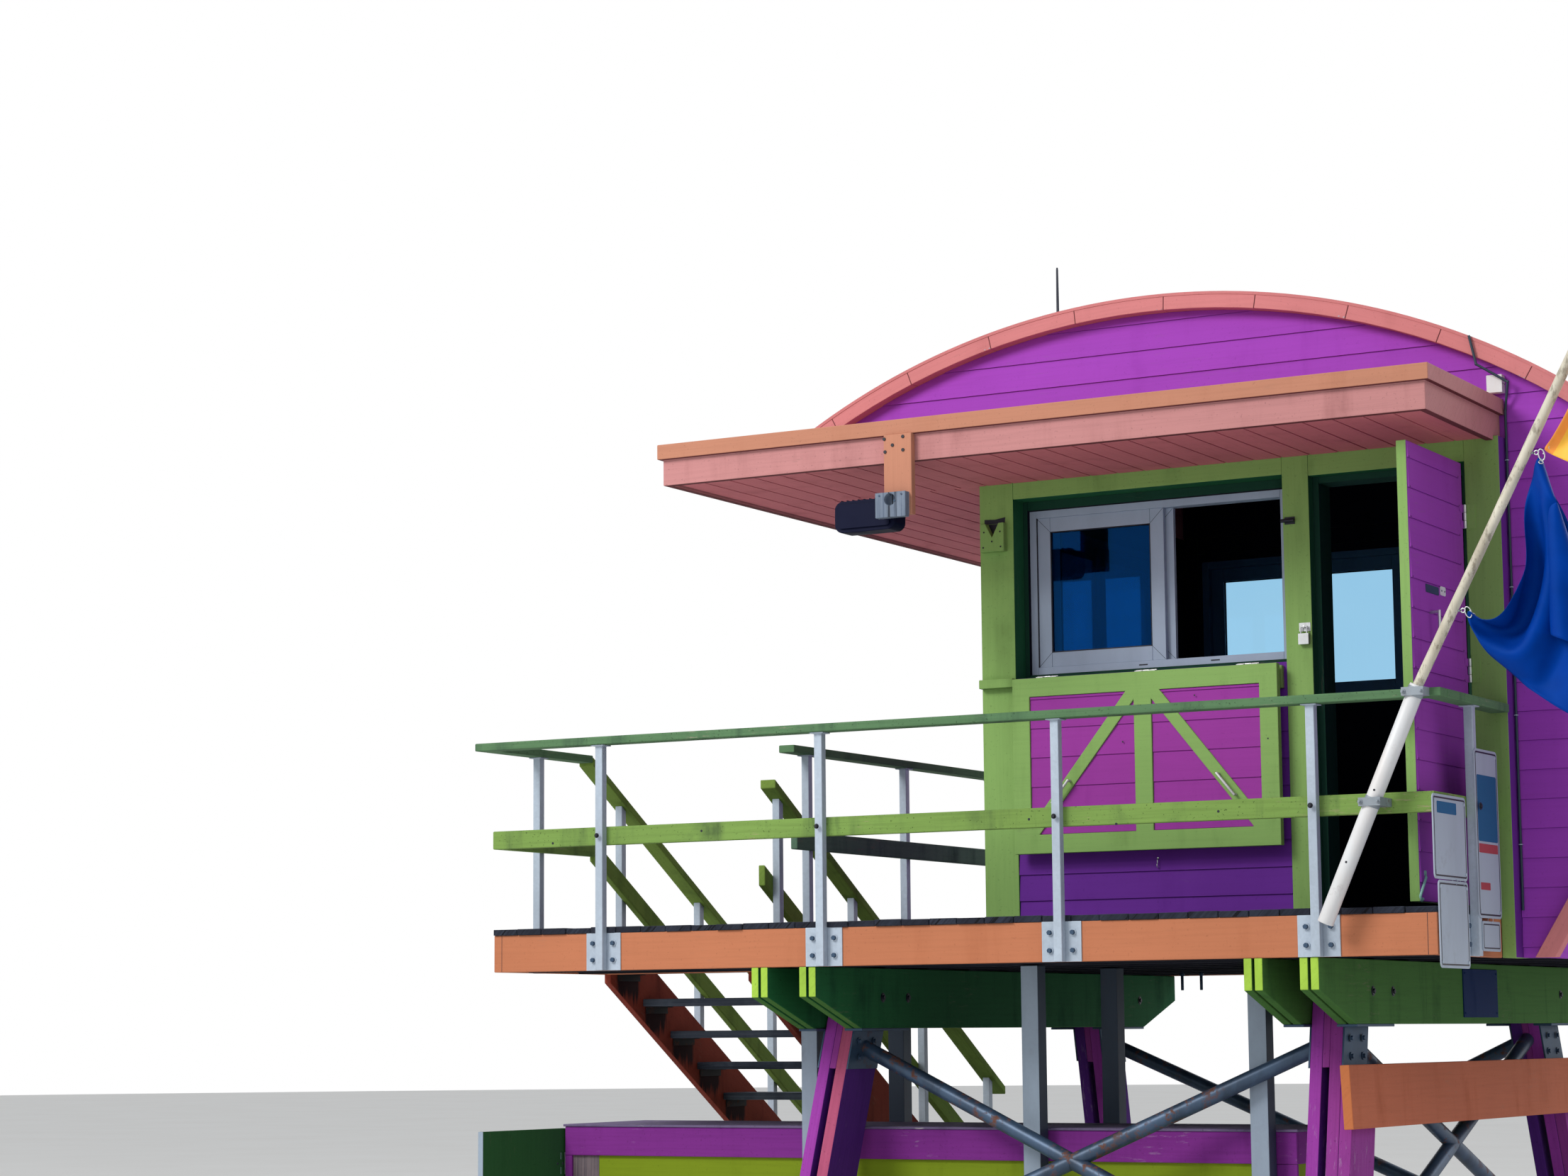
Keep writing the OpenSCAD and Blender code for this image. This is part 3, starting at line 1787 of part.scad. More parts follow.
box_w = 74;
box_h = 83;
box_d = 45;
box_gap = 27;
box_z = canopy_top + box_gap;
box_x = arch_x + sqrt(pow(rim_in_r, 2) - pow(box_z + box_h + box_gap - arch_z, 2)) - box_w;

module wall_box() {
    color("whitesmoke")
        place()
            span([box_x, gable_y - box_d, box_z], [box_x + box_w, gable_y, box_z + box_h]);
}

cable_d = 12;
cable_off = 14;
cable_start = 62;
cable_edge = 30;

// Over the rim, in front of the box and down the wall beside the bay
module aerial_cable() {
    front = gable_y - rim_over - cable_d;
    back = gable_y - cable_off - cable_d / 2;
    x0 = box_x - cable_start;
    x_rim = x0 + cable_edge;
    x1 = box_x + box_w + cable_edge;
    turn_x = hut_end + cable_d;
    route = [
        [x0, front, arch_z + sqrt(pow(roof_r, 2) - pow(x0 - arch_x, 2))],
        [x_rim, front, arch_z + sqrt(pow(rim_in_r - cable_edge, 2) - pow(x_rim - arch_x, 2))],
        [x1, gable_y - box_d - cable_d, box_z + box_h / 2],
        [turn_x, back, box_z - box_h],
        [turn_x, back, deck_top]
    ];
    color("darkslategray")
        place() {
            for (i = [1 : len(route) - 1])
                bar(route[i - 1], route[i], cable_d);
            for (i = [1 : len(route) - 2])
                translate(route[i])
                    sphere(d = 1.2 * cable_d, $fn = 24);
        }
}

// Storage locker

locker_edge = 40;
locker_stile = 140;
locker_hinge_in = 120;
locker_leaf_top = locker_leaf_low + locker_leaf_h;
locker_hinges = [locker_leaf_low + locker_hinge_in, locker_leaf_top - locker_hinge_in - hinge_h];

module locker_panels() {
    b = locker_board;
    top = locker_h - lid_t;
    y0 = locker_y + b;
    y1 = locker_back - b;
    x1 = locker_end - b;
    color("yellowgreen")
        place() {
            span([locker_x, y0, 0], [x1, y0 + b, top]);
            span([locker_x, y1 - b, 0], [x1, y1, top]);
            span([x1 - b, y0 + b + butt_gap, 0], [x1, y1 - b - butt_gap, top]);
            span([locker_x, y0 + b + butt_gap, 0], [x1 - b - butt_gap, y1 - b - butt_gap, b]);
        }
}

module locker_trim() {
    b = locker_board;
    top = locker_h - lid_t;
    band = top - locker_band;
    color("purple")
        place() {
            for (y = [locker_y, locker_back - b]) {
                span([locker_x, y, band], [locker_end, y + b, top]);
                span([locker_x, y, 0], [locker_x + locker_edge, y + b, band - butt_gap]);
                span([locker_end - locker_stile, y, 0], [locker_end, y + b, band - butt_gap]);
            }
            span([locker_end - b, locker_y + b + butt_gap, band],
                [locker_end, locker_back - b - butt_gap, top]);
        }
}

module locker_lid() {
    color("plum")
        place()
            span([locker_x - lid_over, locker_y - lid_over, locker_h - lid_t],
                [locker_end + lid_over, locker_back + lid_over, locker_h]);
}

module locker_door() {
    color("seagreen")
        place()
            translate([locker_pin_x, locker_pin_y, 0])
                rotate([0, 0, locker_door_open - 180]) {
                    translate([-locker_leaf_t - knuckle_r, -locker_gap - locker_leaf_w, locker_leaf_low])
                        cube([locker_leaf_t, locker_leaf_w, locker_leaf_h]);
                    for (z = locker_hinges, part = [0, 2]) {
                        knuckle(z, part);
                        translate([-knuckle_r, -locker_gap - hinge_l, knuckle_low(z, part)])
                            cube([strap_t, locker_gap + hinge_l - 2 * knuckle_gap, knuckle_h]);
                    }
                }
}

leg_planks();
leg_blocks();
leg_plates();
bearing_plates();
beams();
cross_braces();
steel_posts();
fascia_boards();
joists();
deck();
hut_floor();
stair_stringers();
stair_treads();
tread_cleats();
stair_handrails();
rail_posts();
post_plates();
top_rails();
mid_rails();
low_walls();
wall_piers();
wall_heads();
gables();
corner_panels();
ocean_wall();
land_wall();
roof_shell();
roof_rims();
canopy();
window_casings();
window_frames();
window_sashes();
window_glass();
door_casing();
shutter_frame();
shutter_panel();
shutter_fittings();
door_leaf();
door_fittings();
wall_fittings();
equipment_holders();
name_board();
rail_signs();
flag_pole();
pole_clamps();
blue_flag();
yellow_flag();
flood_light();
antenna();
wall_box();
aerial_cable();
locker_panels();
locker_trim();
locker_lid();
locker_door();
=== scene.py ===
"""Lifeguard tower: boards, siding, fittings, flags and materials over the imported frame.

Places are in metres from the deck's left near corner and from the ground; T puts them into
the part's frame."""
import json
import math
import random

import bmesh
import bpy
import numpy as np
from mathutils import Matrix, Vector

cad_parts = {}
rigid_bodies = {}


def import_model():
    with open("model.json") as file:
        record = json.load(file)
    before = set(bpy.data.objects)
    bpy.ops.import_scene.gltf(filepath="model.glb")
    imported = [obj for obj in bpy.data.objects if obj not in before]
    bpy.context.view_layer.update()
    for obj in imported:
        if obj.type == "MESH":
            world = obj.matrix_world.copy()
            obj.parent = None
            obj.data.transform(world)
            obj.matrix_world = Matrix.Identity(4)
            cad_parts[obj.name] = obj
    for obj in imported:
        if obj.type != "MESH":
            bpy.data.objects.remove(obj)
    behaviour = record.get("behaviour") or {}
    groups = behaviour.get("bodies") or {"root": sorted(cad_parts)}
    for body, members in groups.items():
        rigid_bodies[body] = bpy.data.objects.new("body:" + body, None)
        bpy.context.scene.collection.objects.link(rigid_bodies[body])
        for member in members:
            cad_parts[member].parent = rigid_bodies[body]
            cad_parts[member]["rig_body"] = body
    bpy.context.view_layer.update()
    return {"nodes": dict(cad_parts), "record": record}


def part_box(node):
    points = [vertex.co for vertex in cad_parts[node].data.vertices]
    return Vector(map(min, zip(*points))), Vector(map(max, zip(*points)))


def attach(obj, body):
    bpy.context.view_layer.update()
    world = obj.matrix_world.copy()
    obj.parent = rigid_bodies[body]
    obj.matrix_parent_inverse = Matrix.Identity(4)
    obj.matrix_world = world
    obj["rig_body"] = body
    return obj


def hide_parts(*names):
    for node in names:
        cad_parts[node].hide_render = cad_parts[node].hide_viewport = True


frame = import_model()
rng = random.Random(5)

# directions, and the part's origin from the deck's left near corner
X, Y, Z = Vector((1, 0, 0)), Vector((0, 1, 0)), Vector((0, 0, 1))
NEG_X, NEG_Y = -X, -Y
OX, OY = 2.96793, 2.06

# deck, canopy, end walls, and the siding's first lap and pitch
DECK, BOARD_LOW, BEAM_TOP, DEPTH = 2.167, 2.137, 1.957, 4.2
CANOPY, CANOPY_TOP = 4.284, 4.484
SOFFIT = CANOPY + 0.02
GABLE_Y = 0.956
LINE, PITCH = 2.398, 0.1317

# the roof's arch, its rims and shell, and the leaning wall
ARC_X, ARC_Z, ROOF_R, RIM_W = 3.14963, 1.452, 3.7, 0.078
RIM_IN = ROOF_R - RIM_W
SHELL_IN = 0.006
SHELL_R = ROOF_R - SHELL_IN
LEAN, FOOT_X = math.radians(31.4), 5.06

# railing posts, the bolts in their plates and through the middle rail, and the flag pole
NEAR_POSTS = (0.643, 1.862, 3.081, 4.300)
PLATE_HALF, PLATE_ROWS = 0.057, (2.0875, 2.0074)
RAIL_Z = 2.605
POLE_Y = -0.108

# texture coordinates: from one board to the next, a board's own start, and end grain's shift
BOARD_STEP, BOARD_START, END_SHIFT = 20, 8, 10


def T(x, y, z):
    """A point given from the deck's left near corner, in the part's frame."""
    return Vector((x - OX, y - OY, z))


def spot(c):
    """A point of the part's frame, from the deck's left near corner."""
    return c.x + OX, c.y + OY, c.z


def both(y):
    """Near and back stations of a plane at y from the near edge, with their outward directions."""
    return ((y, -1), (DEPTH - y, 1))


# camera, as solved from the photograph

EYE, LENS, SENSOR = T(9.61451, -13.90149, 1.64664), 78.10, 36.0
ROLL, TILT, PAN = 0.071826, 0.10915043, 0.52413459
turn = Matrix.Rotation(ROLL, 3, "Y") @ Matrix.Rotation(TILT, 3, "X") @ Matrix.Rotation(PAN, 3, "Z")
lens = bpy.data.cameras.new("Camera")
lens.sensor_width, lens.sensor_fit = SENSOR, "HORIZONTAL"
lens.lens, lens.clip_end = LENS, 300
camera = bpy.data.objects.new("Camera", lens)
bpy.context.scene.collection.objects.link(camera)
axes = [turn @ Vector(v) for v in ((1, 0, 0), (0, 0, 1), (0, -1, 0))]
camera.matrix_world = Matrix.Translation(EYE) @ Matrix(axes).transposed().to_4x4()
bpy.context.scene.camera = camera
bpy.context.scene.view_settings.view_transform = "Standard"


# materials

class Shader:
    """A short way to write a node tree."""

    def __init__(self, name, world=None):
        self.owner = world or bpy.data.materials.new(name)
        self.owner.use_nodes = True
        self.tree = self.owner.node_tree
        self.tree.nodes.clear()

    def put(self, kind, props=None, **inputs):
        """A node; an input goes by its name, with _ for a space, or by its place, such as i0."""
        node = self.tree.nodes.new("ShaderNode" + kind)
        for name, value in (props or {}).items():
            setattr(node, name, value)
        for name, value in inputs.items():
            by_place = name[0] == "i" and name[1:].isdigit()
            socket = node.inputs[int(name[1:]) if by_place else name.replace("_", " ")]
            if isinstance(value, bpy.types.NodeSocket):
                self.tree.links.new(value, socket)
            else:
                socket.default_value = value
        return node

    def calc(self, op, a, b=0.0, clamp=False):
        return self.put("Math", {"operation": op, "use_clamp": clamp}, i0=a, i1=b).outputs[0]

    def times(self, a, b, clamp=False):
        return self.calc("MULTIPLY", a, b, clamp)

    def plus(self, a, b, clamp=False):
        return self.calc("ADD", a, b, clamp)

    def less(self, a, b):
        return self.calc("SUBTRACT", a, b)

    def noise(self, vec, scale, detail=4.0, rough=0.55):
        return self.put("TexNoise", Vector=vec, Scale=scale, Detail=detail, Roughness=rough).outputs[0]

    def move(self, vec, scale=(1, 1, 1), loc=(0, 0, 0)):
        return self.put("Mapping", Vector=vec, Scale=scale, Location=loc).outputs[0]

    def step(self, fac, low, high, a=0.0, b=1.0):
        return self.put("MapRange", {"clamp": True}, i0=fac, i1=low, i2=high, i3=a, i4=b).outputs[0]

    def mix(self, fac, a, b):
        a, b = [v if isinstance(v, bpy.types.NodeSocket) else (*v, 1) for v in (a, b)]
        return self.put("Mix", {"data_type": "RGBA"}, i0=fac, i6=a, i7=b).outputs[2]

    def places(self):
        """Coordinates in the part's frame, and along each board."""
        coords = self.put("TexCoord").outputs
        return coords["Object"], coords["UV"]

    def boards(self, uv):
        """A random tone for each board."""
        u = self.put("SeparateXYZ", Vector=uv).outputs[0]
        board = self.calc("FLOOR", self.calc("DIVIDE", u, BOARD_STEP))
        return self.put("TexWhiteNoise", {"noise_dimensions": "1D"}, W=board).outputs[0]

    def finish(self, bump=None, depth=0.002, strength=0.4, **inputs):
        if bump is not None:
            inputs["Normal"] = self.put("Bump", Height=bump, Distance=depth, Strength=strength).outputs[0]
        surface = self.put("BsdfPrincipled", **inputs).outputs[0]
        self.put("OutputMaterial", Surface=surface)
        return self.owner


def srgb(colour):
    return tuple(c / 255 / 12.92 if c <= 10 else ((c / 255 + 0.055) / 1.055) ** 2.4 for c in colour)


def scaled(rgb, k):
    return tuple(min(1.0, max(0.0, c * k)) for c in rgb)


def drips(s, obj, start, under, run, rise):
    """Black runs below treads: the first one's near edge and underside, and the stair's pitch."""
    _, y, z = s.put("SeparateXYZ", Vector=obj).outputs
    at = s.calc("DIVIDE", s.less(y, start), run)
    depth = s.less(s.less(under, s.times(s.calc("FLOOR", at), rise)), z)
    length = s.times(s.noise(s.move(obj, (1, 30, 1.5)), 1.0, 5, 0.6), 0.26)
    middle = s.calc("ABSOLUTE", s.less(s.calc("FRACT", at), 0.47))
    wet = s.times(s.step(s.less(depth, length), 0.02, -0.03), s.calc("GREATER_THAN", depth, 0.0))
    return s.times(wet, s.step(middle, 0.42, 0.34, 0.0, 0.92))


def paint(name, colour, rough, grime, chips, grain, dirt=None, bare=(120, 108, 96), patch=0.07,
          treads=None, worn=None):
    """Painted timber: tone per board, sun-faded patches, dirt streaks, grain and chips.
    worn is where along X the chips grow; treads is what drips needs."""
    s = Shader(name)
    obj, uv = s.places()
    rgb = srgb(colour)
    dirt = srgb(dirt) if dirt else scaled(rgb, 0.32)
    wide = s.noise(obj, 0.9, 3)
    c = s.mix(s.step(wide, 0.32, 0.68), scaled(rgb, 1 - patch), scaled(rgb, 1 + patch))
    c = s.mix(s.times(s.boards(uv), 0.4), c, scaled(rgb, 0.86))
    fibre = s.noise(s.move(uv, (2.2, 70, 1)), 1.0, 5, 0.6)
    c = s.mix(s.times(s.step(fibre, 0.45, 0.72), grain * 0.55), c, scaled(rgb, 0.62))
    streak = s.noise(s.move(obj, (7, 7, 0.9)), 1.0, 5, 0.62)
    soot = s.noise(obj, 3.1, 6, 0.65)
    foul = s.times(s.step(streak, 0.5, 0.74), s.step(soot, 0.4, 0.62))
    c = s.mix(s.times(foul, grime), c, dirt)
    speck = s.noise(obj, 95, 2, 0.5)
    c = s.mix(s.times(s.step(speck, 0.66, 0.72), grime), c, scaled(rgb, 0.4))
    flake = s.noise(s.move(uv, (9, 60, 1)), 1.0, 6, 0.7)
    where = s.step(s.noise(obj, 2.4, 4, 0.6), 0.56, 0.64)
    if worn:
        x = s.put("SeparateXYZ", Vector=obj).outputs[0]
        where = s.calc("MAXIMUM", where, s.step(x, worn[0], worn[1], 0.0, 0.9))
    chip = s.times(s.times(s.step(flake, 0.57, 0.6), where), chips, clamp=True)
    c = s.mix(chip, c, srgb(bare))
    if treads:
        c = s.mix(drips(s, obj, *treads), c, srgb((20, 16, 24)))
    height = s.plus(s.times(fibre, grain), s.times(s.noise(obj, 260, 2), 0.25))
    height = s.less(height, s.times(chip, 0.6))
    shine = s.plus(rough + 0.1, s.times(foul, 0.2), clamp=True)
    return s.finish(height, 0.0014, Base_Color=c, Roughness=shine, Specular_IOR_Level=0.12)


def bare_wood(name, colour, dark, crack=0.5):
    """Weathered, unpainted timber."""
    s = Shader(name)
    obj, uv = s.places()
    rgb, dark = srgb(colour), srgb(dark)
    fibre = s.noise(s.move(uv, (1.6, 90, 1)), 1.0, 6, 0.65)
    c = s.mix(s.step(fibre, 0.35, 0.68), rgb, dark)
    c = s.mix(s.times(s.boards(uv), 0.7), c, scaled(dark, 1.1))
    c = s.mix(s.step(s.noise(obj, 5, 5, 0.6), 0.5, 0.75, 0, 0.6), c, scaled(rgb, 1.25))
    split = s.step(s.noise(s.move(uv, (0.9, 46, 1), (0.3, 0.1, 0)), 1.0, 2, 0.4), 0.63, 0.67)
    c = s.mix(s.times(split, crack), c, scaled(dark, 0.25))
    height = s.less(fibre, s.times(split, 1.2))
    return s.finish(height, 0.003, 0.6, Base_Color=c, Roughness=0.85, Specular_IOR_Level=0.2)


def metal(name, colour, rough, metallic, rust=0.0, spangle=0.25, streak=0.2, stain=None, cover=0.0,
          mottle=0.0):
    """Galvanised or painted steel with spangle, dull patches and rust."""
    s = Shader(name)
    obj, _ = s.places()
    rgb = srgb(colour)
    stain = srgb(stain) if stain else scaled(rgb, 0.55)
    cell = s.put("TexVoronoi", {"feature": "F1"}, Vector=obj, Scale=75.0).outputs["Color"]
    grey = s.put("SeparateColor", Color=cell).outputs[0]
    c = s.mix(s.times(grey, spangle), rgb, scaled(rgb, 0.7))
    dull = s.noise(s.move(obj, (6, 6, 1.6)), 1.0, 5, 0.6)
    c = s.mix(s.step(dull, 0.42, 0.7, 0, streak * 2), c, stain)
    if mottle:
        flecks = s.noise(s.move(obj, (34, 34, 13)), 1.0, 6, 0.7)
        c = s.mix(s.step(flecks, 0.54, 0.62, 0, mottle), c, scaled(stain, 0.5))
    pits = s.noise(obj, 17, 7, 0.7)
    area = s.noise(obj, 2.2, 4, 0.6)
    worn = s.times(s.step(pits, 0.53, 0.6), s.step(area, 0.5 - cover, 0.6 - cover))
    worn = s.times(worn, rust, clamp=True)
    c = s.mix(worn, c, srgb((98, 60, 46)))
    c = s.mix(s.times(s.step(pits, 0.62, 0.7), worn), c, srgb((44, 24, 20)))
    height = s.plus(s.times(worn, 0.8), s.times(s.noise(obj, 150, 3), 0.3))
    shine = s.plus(rough, s.times(worn, 0.4), clamp=True)
    gloss = s.less(metallic, s.times(worn, metallic))
    return s.finish(height, 0.001, Base_Color=c, Roughness=shine, Metallic=gloss)


def cloth(name, colour, rough, gleam=(1, 1, 1)):
    """Woven nylon with a fine rib and a satin sheen."""
    s = Shader(name)
    obj, uv = s.places()
    rgb = srgb(colour)
    warp, weft = [s.put("TexWave", {"wave_type": "BANDS", "bands_direction": way}, Vector=uv,
                        Scale=320.0).outputs[1] for way in "XY"]
    weave = s.times(warp, weft)
    fade = s.noise(obj, 4, 4, 0.6)
    c = s.mix(s.step(fade, 0.35, 0.7), scaled(rgb, 0.85), scaled(rgb, 1.2))
    c = s.mix(s.times(weave, 0.2), c, scaled(rgb, 1.25))
    return s.finish(weave, 0.0004, 0.3, Base_Color=c, Roughness=rough, Specular_IOR_Level=0.3,
                    Specular_Tint=(*gleam, 1))


def glass(name, low, high, tint, index):
    """A clear pane with a tint, a coloured mirror tint as painted reflection, and a little dust."""
    s = Shader(name)
    obj, _ = s.places()
    c = s.mix(s.noise(obj, 1.4, 3), srgb(low), srgb(high))
    dust = s.step(s.noise(obj, 14, 5), 0.45, 0.8, 0.0, 0.06)
    return s.finish(Base_Color=c, Roughness=dust, Transmission_Weight=1.0, IOR=index,
                    Specular_Tint=(*tint, 1))


# bare wood under purple paint
PALE = (170, 150, 180)

# painted timber has roughness, grime, chips and grain; metal roughness, metal, rust, spangle and streaks
MAT = {
    "siding": paint("purple_siding", (160, 68, 190), 0.6, 0.22, 0.08, 0.3, patch=0.05),
    "shutter": paint("purple_panel", (152, 58, 156), 0.6, 0.2, 0.1, 0.3, patch=0.05),
    "low": paint("purple_low", (106, 46, 152), 0.62, 0.3, 0.1, 0.3),
    # the siding's purple darkened as painted shade, for returns facing landward
    "return": paint("purple_return_painted_shade", (110, 48, 150), 0.62, 0.35, 0.1, 0.3),
    "door": paint("magenta_door", (156, 70, 180), 0.58, 0.25, 0.12, 0.3, patch=0.05),
    "leg": paint("purple_timber", (150, 60, 160), 0.65, 0.5, 0.35, 0.8, bare=PALE),
    # the leg purple darkened as painted shade, for landward sides and the back legs
    "legshade": paint("purple_painted_shade", (80, 36, 122), 0.65, 0.5, 0.35, 0.8, bare=(150, 130, 160)),
    "bandpurple": paint("locker_purple", (126, 48, 140), 0.65, 0.4, 0.3, 0.6, bare=PALE),
    "magenta": paint("magenta_timber", (142, 58, 142), 0.65, 0.5, 0.35, 0.8, bare=PALE),
    "pink": paint("pink_timber", (176, 84, 118), 0.65, 0.5, 0.35, 0.8, bare=(190, 160, 160)),
    "lime": paint("lime_trim", (134, 172, 98), 0.6, 0.35, 0.15, 0.35, (66, 88, 46)),
    "rail": paint("lime_rail", (120, 152, 78), 0.66, 0.95, 0.9, 0.9, (62, 80, 56), (160, 150, 116),
                  worn=(1.15, 1.85)),
    # the rail lime darkened as painted shade, for the back rails and the seaward rail
    "railshade": paint("rail_painted_shade", (88, 118, 98), 0.66, 0.9, 0.5, 0.9, (44, 62, 56)),
    "toprail": paint("top_rail", (90, 126, 90), 0.66, 0.9, 0.7, 0.9, (48, 66, 60), (140, 140, 120)),
    # lit and shaded copies of the beams' lime: ends brighter as painted light, sides darker as painted shade
    "beam": paint("beam_end_painted_light", (164, 204, 76), 0.62, 0.4, 0.25, 0.6, (70, 88, 40)),
    "beamshade": paint("beam_painted_shade", (68, 112, 54), 0.66, 0.7, 0.3, 0.7, (26, 50, 38)),
    "beamdeepshade": paint("beam_deep_painted_shade", (34, 98, 58), 0.66, 0.7, 0.2, 0.6, (12, 34, 34)),
    "fascia": paint("orange_fascia", (188, 119, 86), 0.6, 0.25, 0.12, 0.4, (150, 86, 58)),
    "salmon": paint("salmon", (208, 130, 132), 0.6, 0.25, 0.15, 0.4, (140, 80, 78)),
    # dark joints of the rims, and painted shade under the canopy
    "seam": paint("seam_and_painted_shade", (108, 58, 62), 0.7, 0.3, 0.0, 0.2),
    "band": paint("salmon_orange", (188, 130, 106), 0.6, 0.25, 0.1, 0.4, (150, 92, 70)),
    "pinkband": paint("salmon_pink", (192, 134, 134), 0.62, 0.45, 0.25, 0.55, (124, 76, 76)),
    "soffit": paint("soffit_pink", (206, 118, 126), 0.66, 0.3, 0.08, 0.45, (104, 54, 60)),
    "name": paint("board_red", (184, 104, 76), 0.6, 0.35, 0.15, 0.45),
    # the board's orange, brighter on its ends as painted light
    "namelit": paint("board_painted_light", (188, 112, 70), 0.6, 0.25, 0.1, 0.4),
    "stringer": paint("stringer_red", (150, 66, 50), 0.66, 0.8, 0.3, 0.6, (40, 24, 28),
                      treads=(1.04 - OY, 1.962, 0.272, 0.16665)),
    "stringerside": paint("stringer_side", (140, 60, 46), 0.66, 0.8, 0.3, 0.6, (40, 24, 28)),
    "stairrail": paint("stair_rail", (118, 146, 66), 0.66, 0.8, 0.4, 0.8, (50, 66, 40)),
    "locker": paint("locker_lime", (124, 146, 30), 0.6, 0.35, 0.15, 0.45),
    "lid": paint("lid_lavender", (114, 102, 136), 0.72, 0.9, 1.2, 0.9, bare=(190, 186, 190)),
    "leaf": paint("door_green", (46, 92, 54), 0.62, 0.5, 0.25, 0.5),
    "casing": paint("dark_green", (22, 62, 48), 0.6, 0.35, 0.15, 0.4),
    # the lime trim darkened as painted shade, for reveals and undersides
    "revealshade": paint("green_painted_shade", (34, 96, 62), 0.6, 0.35, 0.15, 0.4),
    # near-black painted shade on the faces inside the room
    "inside": paint("inside_painted_shade", (9, 13, 30), 0.75, 0.3, 0.0, 0.4),
    "navy": paint("navy_case", (3, 9, 40), 0.5, 0.3, 0.1, 0.2),
    "patch": paint("blue_patch", (4, 36, 84), 0.6, 0.4, 0.2, 0.4),
    "header": paint("blue_field", (40, 92, 136), 0.55, 0.1, 0.1, 0.1),
    "redbar": paint("red_field", (164, 70, 80), 0.55, 0.1, 0.1, 0.1),
    "teal": paint("pale_teal", (140, 184, 178), 0.55, 0.3, 0.1, 0.2),
    "roofing": paint("roofing", (196, 136, 122), 0.78, 0.7, 0.0, 0.1, (128, 100, 96)),
    "deck": bare_wood("deck_wood", (74, 84, 96), (44, 46, 60)),
    "deckend": bare_wood("deck_ends", (46, 52, 66), (22, 24, 34), 0.9),
    "tread": bare_wood("tread_grey", (100, 110, 122), (58, 66, 80)),
    # grey timber under the deck, darkened as painted shade
    "joist": bare_wood("joist_wood", (42, 44, 56), (20, 22, 32)),
    "greywood": bare_wood("grey_block", (128, 140, 156), (84, 96, 116), 0.9),
    "greypost": bare_wood("grey_post_wood", (120, 108, 112), (74, 68, 78)),
    "galv": metal("galvanised", (174, 188, 204), 0.5, 0.12, 0.0, 0.3),
    "plate": metal("dull_plate", (52, 76, 102), 0.55, 0.4, 0.4, 0.2),
    "pipe": metal("brace_pipe", (62, 84, 110), 0.42, 0.35, 1.0, 0.1, 0.4, (26, 38, 54), 0.05),
    "post": metal("grey_post", (146, 162, 180), 0.55, 0.15, 0.12, 0.1),
    # the posts' grey darkened as painted shade, for landward sides and posts further back
    "postshade": metal("grey_post_painted_shade", (52, 68, 88), 0.55, 0.15, 0.12, 0.1),
    "cleat": metal("black_cleat", (26, 22, 28), 0.7, 0.1, 0.8, 0.0, 0.3, cover=0.06),
    # chrome pulls: the fittings' steel made lighter and less metallic, a painted reflection
    "chrome_reflection": metal("chrome_painted_reflection", (206, 210, 208), 0.4, 0.2, 0.3, 0.05, 0.3),
    "clamp": metal("clamp_steel", (150, 160, 170), 0.5, 0.3, 0.8, 0.1, 0.3),
    "steel": metal("fittings", (200, 204, 206), 0.35, 0.8, 0.15, 0.1),
    "rod": metal("dark_rod", (40, 46, 60), 0.5, 0.4, 0.5, 0.1),
    "alu": metal("window_alu", (158, 174, 196), 0.55, 0.15, 0.0, 0.04, 0.12),
    # the frames' aluminium darkened as painted shade
    "alushade": metal("alu_painted_shade", (56, 104, 142), 0.55, 0.15, 0.0, 0.04),
    "black": metal("black_metal", (14, 18, 34), 0.5, 0.2, 0.0, 0.05),
    "sign": metal("sign_white", (160, 172, 188), 0.55, 0.0, 0.12, 0.0, 0.1),
    "ink": metal("sign_black", (24, 26, 34), 0.5, 0.0, 0.0, 0.0, 0.1),
    "pole": metal("pole_cream", (210, 206, 190), 0.62, 0.0, 0.0, 0.0, 0.3, (136, 122, 98), mottle=0.55),
    "sleeve": metal("sleeve_white", (218, 222, 226), 0.45, 0.0, 0.5, 0.0, 0.12, (200, 176, 160), -0.06),
    "cable": metal("cable_dark", (26, 48, 66), 0.55, 0.0, 0.0, 0.0),
    "blue": cloth("flag_blue", (0, 50, 138), 0.5, (0.05, 0.3, 1.0)),
    "yellow": cloth("flag_yellow", (250, 184, 64), 0.5),
    "hem": cloth("flag_hem", (244, 150, 66), 0.55),
    # one glass in two copies: near panes deep blue, far panes pale, as painted light and painted reflection
    "glass": glass("glass", (44, 114, 158), (60, 134, 180), (0.01, 0.2, 0.62), 1.75),
    "glasslit": glass("far_glass_painted_light", (146, 200, 234), (156, 206, 236), (0.5, 0.8, 1.0), 1.35),
}


# building blocks

def square_to(way, hint=None):
    """Two directions square to way and to each other, the first one towards hint."""
    u = (hint - way * hint.dot(way)).normalized() if hint else way.orthogonal().normalized()
    return u, way.cross(u)


def circle(u, v, n):
    """n directions evenly round the circle that u and v span."""
    return [u * math.cos(k * math.tau / n) + v * math.sin(k * math.tau / n) for k in range(n)]


def rounded(w, h, r, bend, n=5):
    """Outline of a plate whose corners turn about points r in from its sides, with radius bend."""
    for cx, cy, start in ((1, -1, -90), (1, 1, 0), (-1, 1, 90), (-1, -1, 180)):
        for k in range(n + 1):
            a = math.radians(start + 90 * k / n)
            yield cx * (w / 2 - r) + bend * math.cos(a), cy * (h / 2 - r) + bend * math.sin(a)


